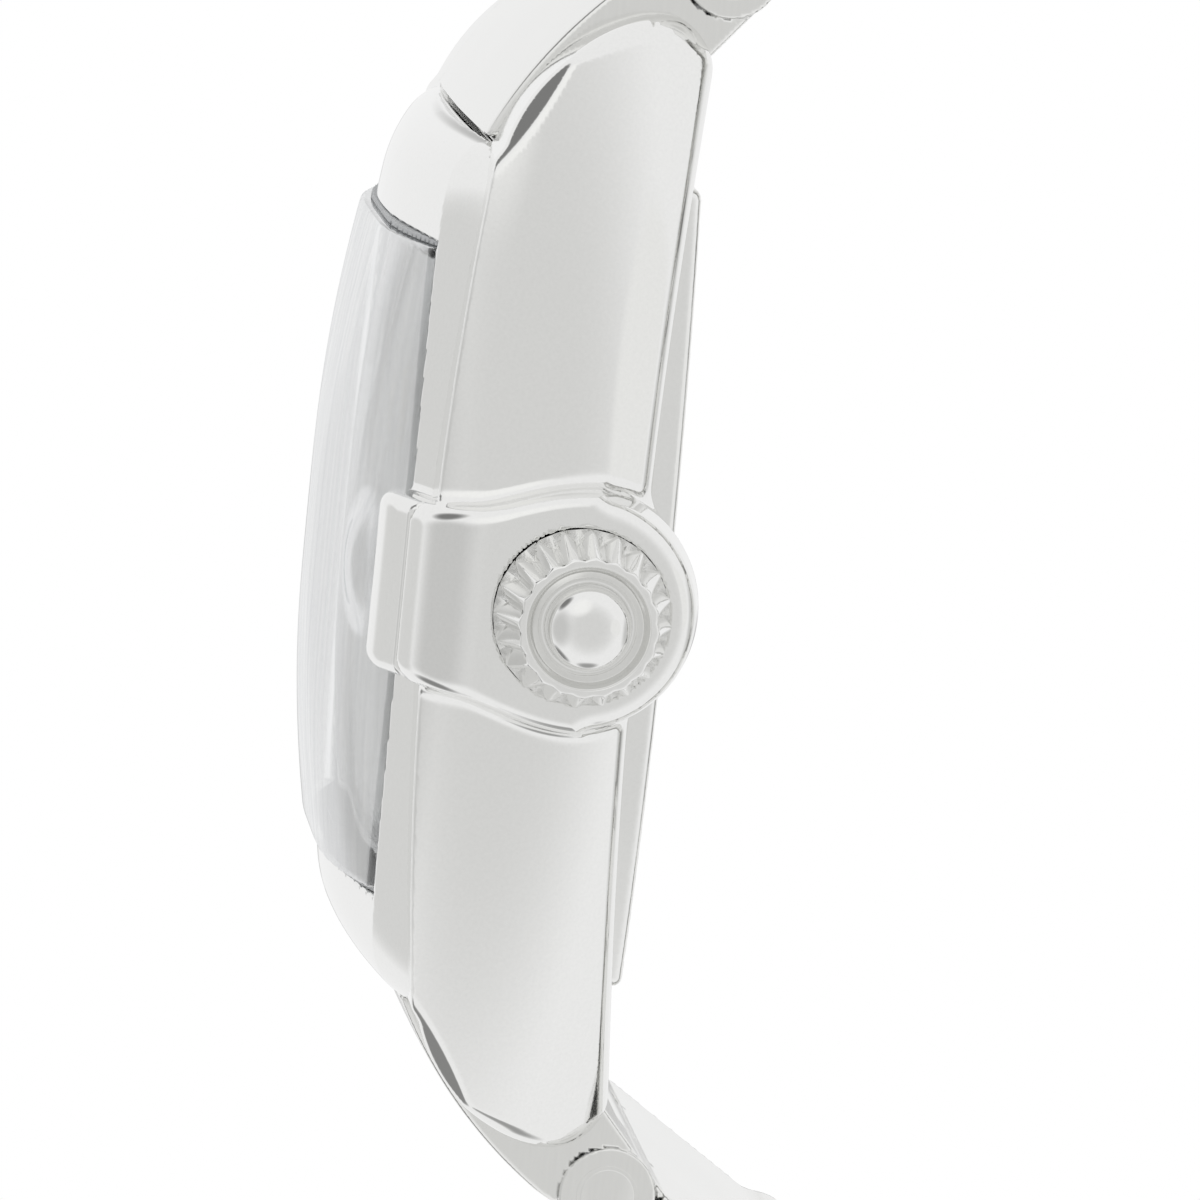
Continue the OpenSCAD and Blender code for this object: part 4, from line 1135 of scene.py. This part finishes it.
steel = material("polished_steel", (0.90, 0.90, 0.89), 1.0, 0.06, 0.03, 0.006)
bracelet_steel = material("bracelet_steel", (0.87, 0.87, 0.855), 1.0, 0.12, 0.04, 0.02, 1.0, (0.1, 1, 1))
small_steel = material("small_steel", (0.62, 0.62, 0.64), 1.0, 0.25, 0.05, 0.05)
brass = material("gilt_brass", (0.83, 0.65, 0.33), 1.0, 0.28, 0.06, 0.05)
copper = material("copper_wire", (0.72, 0.33, 0.16), 1.0, 0.35, 0.05, 0.3, 2.0, (8, 1, 1))
rubber = material("seal_rubber", (0.03, 0.03, 0.032), 0.0, 0.6, 0.1, 0.1)
nylon = material("seal_nylon", (0.42, 0.43, 0.44), 0.0, 0.45, 0.08, 0.05)
plastic = material("holder_plastic", (0.85, 0.84, 0.80), 0.0, 0.5, 0.08, 0.05)
board = material("board_green", (0.03, 0.16, 0.07), 0.0, 0.4, 0.08, 0.05)
white = material("date_white", (0.90, 0.90, 0.88), 0.0, 0.5, 0.05, 0.03)
dial_paint = material("dial_silver", (0.88, 0.88, 0.87), 0.35, 0.35, 0.05, 0.1)
ink = material("print_ink", (0.03, 0.03, 0.035), 0.0, 0.5, 0.05, 0.02)
trim = material("bright_trim", (0.80, 0.80, 0.82), 1.0, 0.08, 0.02, 0.01)
print("materials:", len(bpy.data.materials))

# %% [markdown]
# ## Sunburst
#
# The dial is brushed outward from its centre. Scratches as geometry would be slow, and an image would
# need a file. A noise that depends only on the angle round the centre gives the same rays, and it mixes a
# darker and a lighter silver.

# %% Sunburst
ray_scale = 28


def sunburst(made):
    tree = made.node_tree
    split = new_node(tree, "SeparateXYZ", {0: new_node(tree, "TexCoord").outputs["Object"]})
    angle = new_node(tree, "Math", {0: split.outputs["X"], 1: split.outputs["Z"]})
    angle.operation = "ARCTAN2"
    rays = new_node(tree, "TexNoise")
    rays.noise_dimensions = "1D"
    fill(tree, rays, {"W": angle.outputs[0], "Scale": ray_scale, "Detail": 5})
    tone = colour_mix(tree, rays.outputs[0], (0.76, 0.76, 0.75, 1), (0.93, 0.93, 0.92, 1))
    fill(tree, tree.nodes["Principled BSDF"], {"Base Color": tone})


sunburst(dial_paint)
print("nodes of the dial's paint:", len(dial_paint.node_tree.nodes))

# %% [markdown]
# ## Crystal material
#
# From the side a crystal is mostly a mirror, and from above it is clear. A glass shader would bend the
# light twice in the thin pane and make the dial dark and noisy. So the material mixes a clear and a
# mirror shader by how much the surface faces the eye. The mirror has a faint smear in its roughness and
# fine streaks along the watch in its colour.

# %% Crystal material
edge_power = 0.8

glass = bpy.data.materials.new("crystal_glass")
glass.use_nodes = True
tree = glass.node_tree
tree.nodes.remove(tree.nodes["Principled BSDF"])
masks = finish_masks(tree)
lines = finish_masks(tree, 0.25, (0.02, 1, 1))
tinge = colour_mix(tree, masks["Grain"], (0.97, 0.98, 0.98, 1), (1, 1, 1, 1))
streaks = colour_mix(tree, lines["Grain"], (0.80, 0.81, 0.82, 1), (1, 1, 1, 1))
smear = value_range(tree, masks["Cloud"], 0.02, 0.10)
clear = new_node(tree, "BsdfTransparent", {"Color": tinge})
mirror = new_node(tree, "BsdfGlossy", {"Color": streaks, "Roughness": smear})
facing = new_node(tree, "LayerWeight", {"Blend": 0.5})
amount = new_node(tree, "Math", {0: facing.outputs["Facing"], 1: edge_power})
amount.operation = "POWER"
blend = new_node(tree, "MixShader", {0: amount.outputs[0], 1: clear.outputs[0], 2: mirror.outputs[0]})
fill(tree, tree.nodes["Material Output"], {0: blend.outputs[0]})
print("nodes of the crystal:", len(tree.nodes))

# %% [markdown]
# ## Giving the materials
#
# Each piece has a slot, which says what the real piece is made of. Choosing materials piece by piece
# would be easy to get wrong, so one table goes from slot to material. Three pieces differ: the print is
# ink, and the crystal's seal is grey nylon. What has no dressed piece, such as the movement and the clasp
# blades, shows its CAD mesh in the material of its slot.

# %% Giving the materials
OF_SLOT = {
    "case_steel": steel, "bracelet_steel": bracelet_steel, "small_steel": small_steel, "bright_trim": trim,
    "crystal_glass": glass, "dial_silver": dial_paint, "seal_rubber": rubber, "holder_plastic": plastic,
    "gilt_brass": brass, "copper_coil": copper, "board_green": board, "date_white": white,
}
OF_PIECE = {"minute_track": ink, "date_numbers": ink, "crystal_seal": nylon}
for piece in pieces:
    piece.data.materials.append(OF_PIECE.get(piece.name, OF_SLOT[piece["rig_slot"]]))
slot_of_node = {s["node"]: s["material_slot"] for s in frame["record"]["subparts"]}
for node, obj in frame["nodes"].items():
    obj.data.materials.clear()
    obj.data.materials.append(OF_SLOT[slot_of_node[node]])
print("dressed pieces:", len(pieces))

# %% [markdown]
# ## Floor
#
# The watch lies on a plain pale floor, which fills the picture behind it. Lit up to white by lamps, it
# would need so much light that the steel would burn out. So it shows plain white to the camera only, is
# pale grey for the soft light that it sends back, and lets mirror rays through to the surroundings.

# %% Floor
floor_half = 1.5
floor_gap = 0.0001
floor_z = to_row([-case_half_w, 0, 0])[2] - floor_gap

floor_mesh = bpy.data.meshes.new("floor")
floor_mesh.from_pydata([(-floor_half, -floor_half, floor_z), (floor_half, -floor_half, floor_z),
                        (floor_half, floor_half, floor_z), (-floor_half, floor_half, floor_z)],
                       [], [(0, 1, 2, 3)])
floor = in_scene("floor", floor_mesh)

floor_paint = bpy.data.materials.new("floor_paint")
floor_paint.use_nodes = True
tree = floor_paint.node_tree
pale = tree.nodes["Principled BSDF"]
fill(tree, pale, {"Base Color": (0.85, 0.85, 0.85, 1), "Roughness": 0.9})
glow = new_node(tree, "Emission", {"Strength": 1.0})
empty = new_node(tree, "BsdfTransparent")
path = new_node(tree, "LightPath").outputs
unseen = new_node(tree, "MixShader", {0: path["Is Glossy Ray"], 1: pale.outputs[0], 2: empty.outputs[0]})
shown = new_node(tree, "MixShader", {0: path["Is Camera Ray"], 1: unseen.outputs[0], 2: glow.outputs[0]})
fill(tree, tree.nodes["Material Output"], {0: shown.outputs[0]})
floor_mesh.materials.append(floor_paint)
print("floor at z", round(floor_z, 4), "m")

# %% [markdown]
# ## Surroundings
#
# Polished steel shows nothing but its surroundings, so they give it its form. Cards around the watch, as
# in a studio, would also show from behind and throw shadows. Here they are patches of the world: cones of
# directions with a soft rim, given in watch axes. Everything around is pale, some patches are large and a
# little darker, and the small dark ones make the lines along the edges. Each row is the direction, the
# angles where the rim starts and ends, and the tone.

# %% World
base_tone = 0.92
PATCHES = (
    ((1.0, 0.0, 0.0), 20, 70, 0.72),
    ((0.25, -0.1, 0.95), 14, 44, 0.62),
    ((-0.66, -0.16, 0.73), 10, 20, 0.72),
    ((0.50, 0.08, -0.87), 13, 17, 0.88),
    ((-0.25, -0.1, -0.95), 6, 26, 0.60),
    ((0.55, 0.75, 0.36), 8, 30, 0.98),
    ((-0.20, 0.65, 0.74), 6, 20, 0.22),
    ((-0.33, -0.76, 0.56), 6, 20, 0.26),
    ((-0.15, -0.98, -0.1), 4, 18, 0.36),
    ((-0.96, 0.25, -0.05), 2, 10, 0.50),
    ((-0.98, -0.15, -0.12), 2, 8, 0.50),
)

world = bpy.data.worlds.new("studio")
bpy.context.scene.world = world
world.use_nodes = True
tree = world.node_tree
around = new_node(tree, "TexCoord").outputs["Generated"]


def patch(colour, axis, inner, outer, tone):
    toward = new_node(tree, "VectorMath", {0: around, 1: row_vector(axis).normalized()})
    toward.operation = "DOT_PRODUCT"
    low = math.cos(math.radians(outer))
    high = math.cos(math.radians(inner))
    soft = new_node(tree, "MapRange", {"Value": toward.outputs["Value"], "From Min": low, "From Max": high})
    soft.interpolation_type = "SMOOTHSTEP"
    return colour_mix(tree, soft.outputs[0], colour, (tone, tone, tone * 0.99, 1))


base = new_node(tree, "RGB")
base.outputs[0].default_value = (base_tone, base_tone, base_tone, 1)
colour = base.outputs[0]
for axis, inner, outer, tone in PATCHES:
    colour = patch(colour, axis, inner, outer, tone)
print("patches:", len(PATCHES))

# %% [markdown]
# ## White behind the watch
#
# From the side the camera looks past the floor and would see the patches. The Light Path node tells a
# camera ray from the others, so the camera gets plain white and the steel keeps its surroundings.

# %% White background
seen = new_node(tree, "LightPath").outputs["Is Camera Ray"]
fill(tree, tree.nodes["Background"], {"Color": colour_mix(tree, seen, colour, (1, 1, 1, 1))})
print("nodes of the world:", len(tree.nodes))

# %% [markdown]
# ## Soft boxes
#
# The world alone lights everything evenly. Two large lamps from above give the matt pieces, such as the
# dial, a light and a dark side. In the steel they would show as hard squares, so mirror rays don't see
# them.

# %% Soft boxes
def soft_box(name, place, aim, size, power):
    data = bpy.data.lights.new(name, "AREA")
    data.energy = power
    data.size = size
    lamp = in_scene(name, data)
    lamp.location = place
    lamp.rotation_euler = (Vector(aim) - Vector(place)).to_track_quat("-Z", "Y").to_euler()
    lamp.visible_glossy = False


soft_box("key_box", (-0.35, -0.25, 0.30), (0, 0, 0), 0.25, 0.6)
soft_box("fill_box", (0.30, 0.25, 0.30), (0, 0, 0), 0.25, 0.4)
print("lamps:", len(bpy.data.lights))

# %% [markdown]
# ## Camera
#
# The camera's place was found from the photograph: it looks almost along the crown's axis, from a little
# above the dial's plane and from the 12 o'clock side. Placed by hand, it would let every shape be judged
# through a wrong view. Two angles give the direction, a third the roll, and the long lens draws little
# perspective.

# %% Camera
view_azimuth = 6.7869
view_elevation = 7.7356
view_roll = 5.7914
view_distance = 0.2584011
photo_size = 1200
focal_pixels = 8267.453
origin_pixel = (628.80, 545.80)
sensor_mm = 36


def camera():
    az, el, roll = (math.radians(a) for a in (view_azimuth, view_elevation, view_roll))
    toward = np.array([math.cos(az) * math.cos(el), math.sin(el), math.sin(az) * math.cos(el)])
    level = np.cross([0, 1, 0], toward)
    level = level / np.linalg.norm(level)
    upright = np.cross(toward, level)
    right = math.cos(roll) * level + math.sin(roll) * upright
    up = -math.sin(roll) * level + math.cos(roll) * upright
    middle = photo_size / 2
    axis = -toward + right * ((middle - origin_pixel[0]) / focal_pixels)
    axis = axis - up * ((middle - origin_pixel[1]) / focal_pixels)
    back = row_vector(-axis / np.linalg.norm(axis))
    side = row_vector(right)
    side = (side - back * side.dot(back)).normalized()
    top = back.cross(side)
    data = bpy.data.cameras.new("camera")
    data.lens = focal_pixels / photo_size * sensor_mm
    data.sensor_width = sensor_mm
    data.clip_start = 0.01
    data.clip_end = 10
    made = in_scene("camera", data)
    matrix = Matrix((side, top, back)).transposed().to_4x4()
    matrix.translation = row_vector(toward * view_distance)
    made.matrix_world = matrix
    return made


bpy.context.scene.camera = camera()
bpy.context.scene.view_settings.view_transform = "Standard"
print("camera at", [round(c, 4) for c in bpy.context.scene.camera.location])
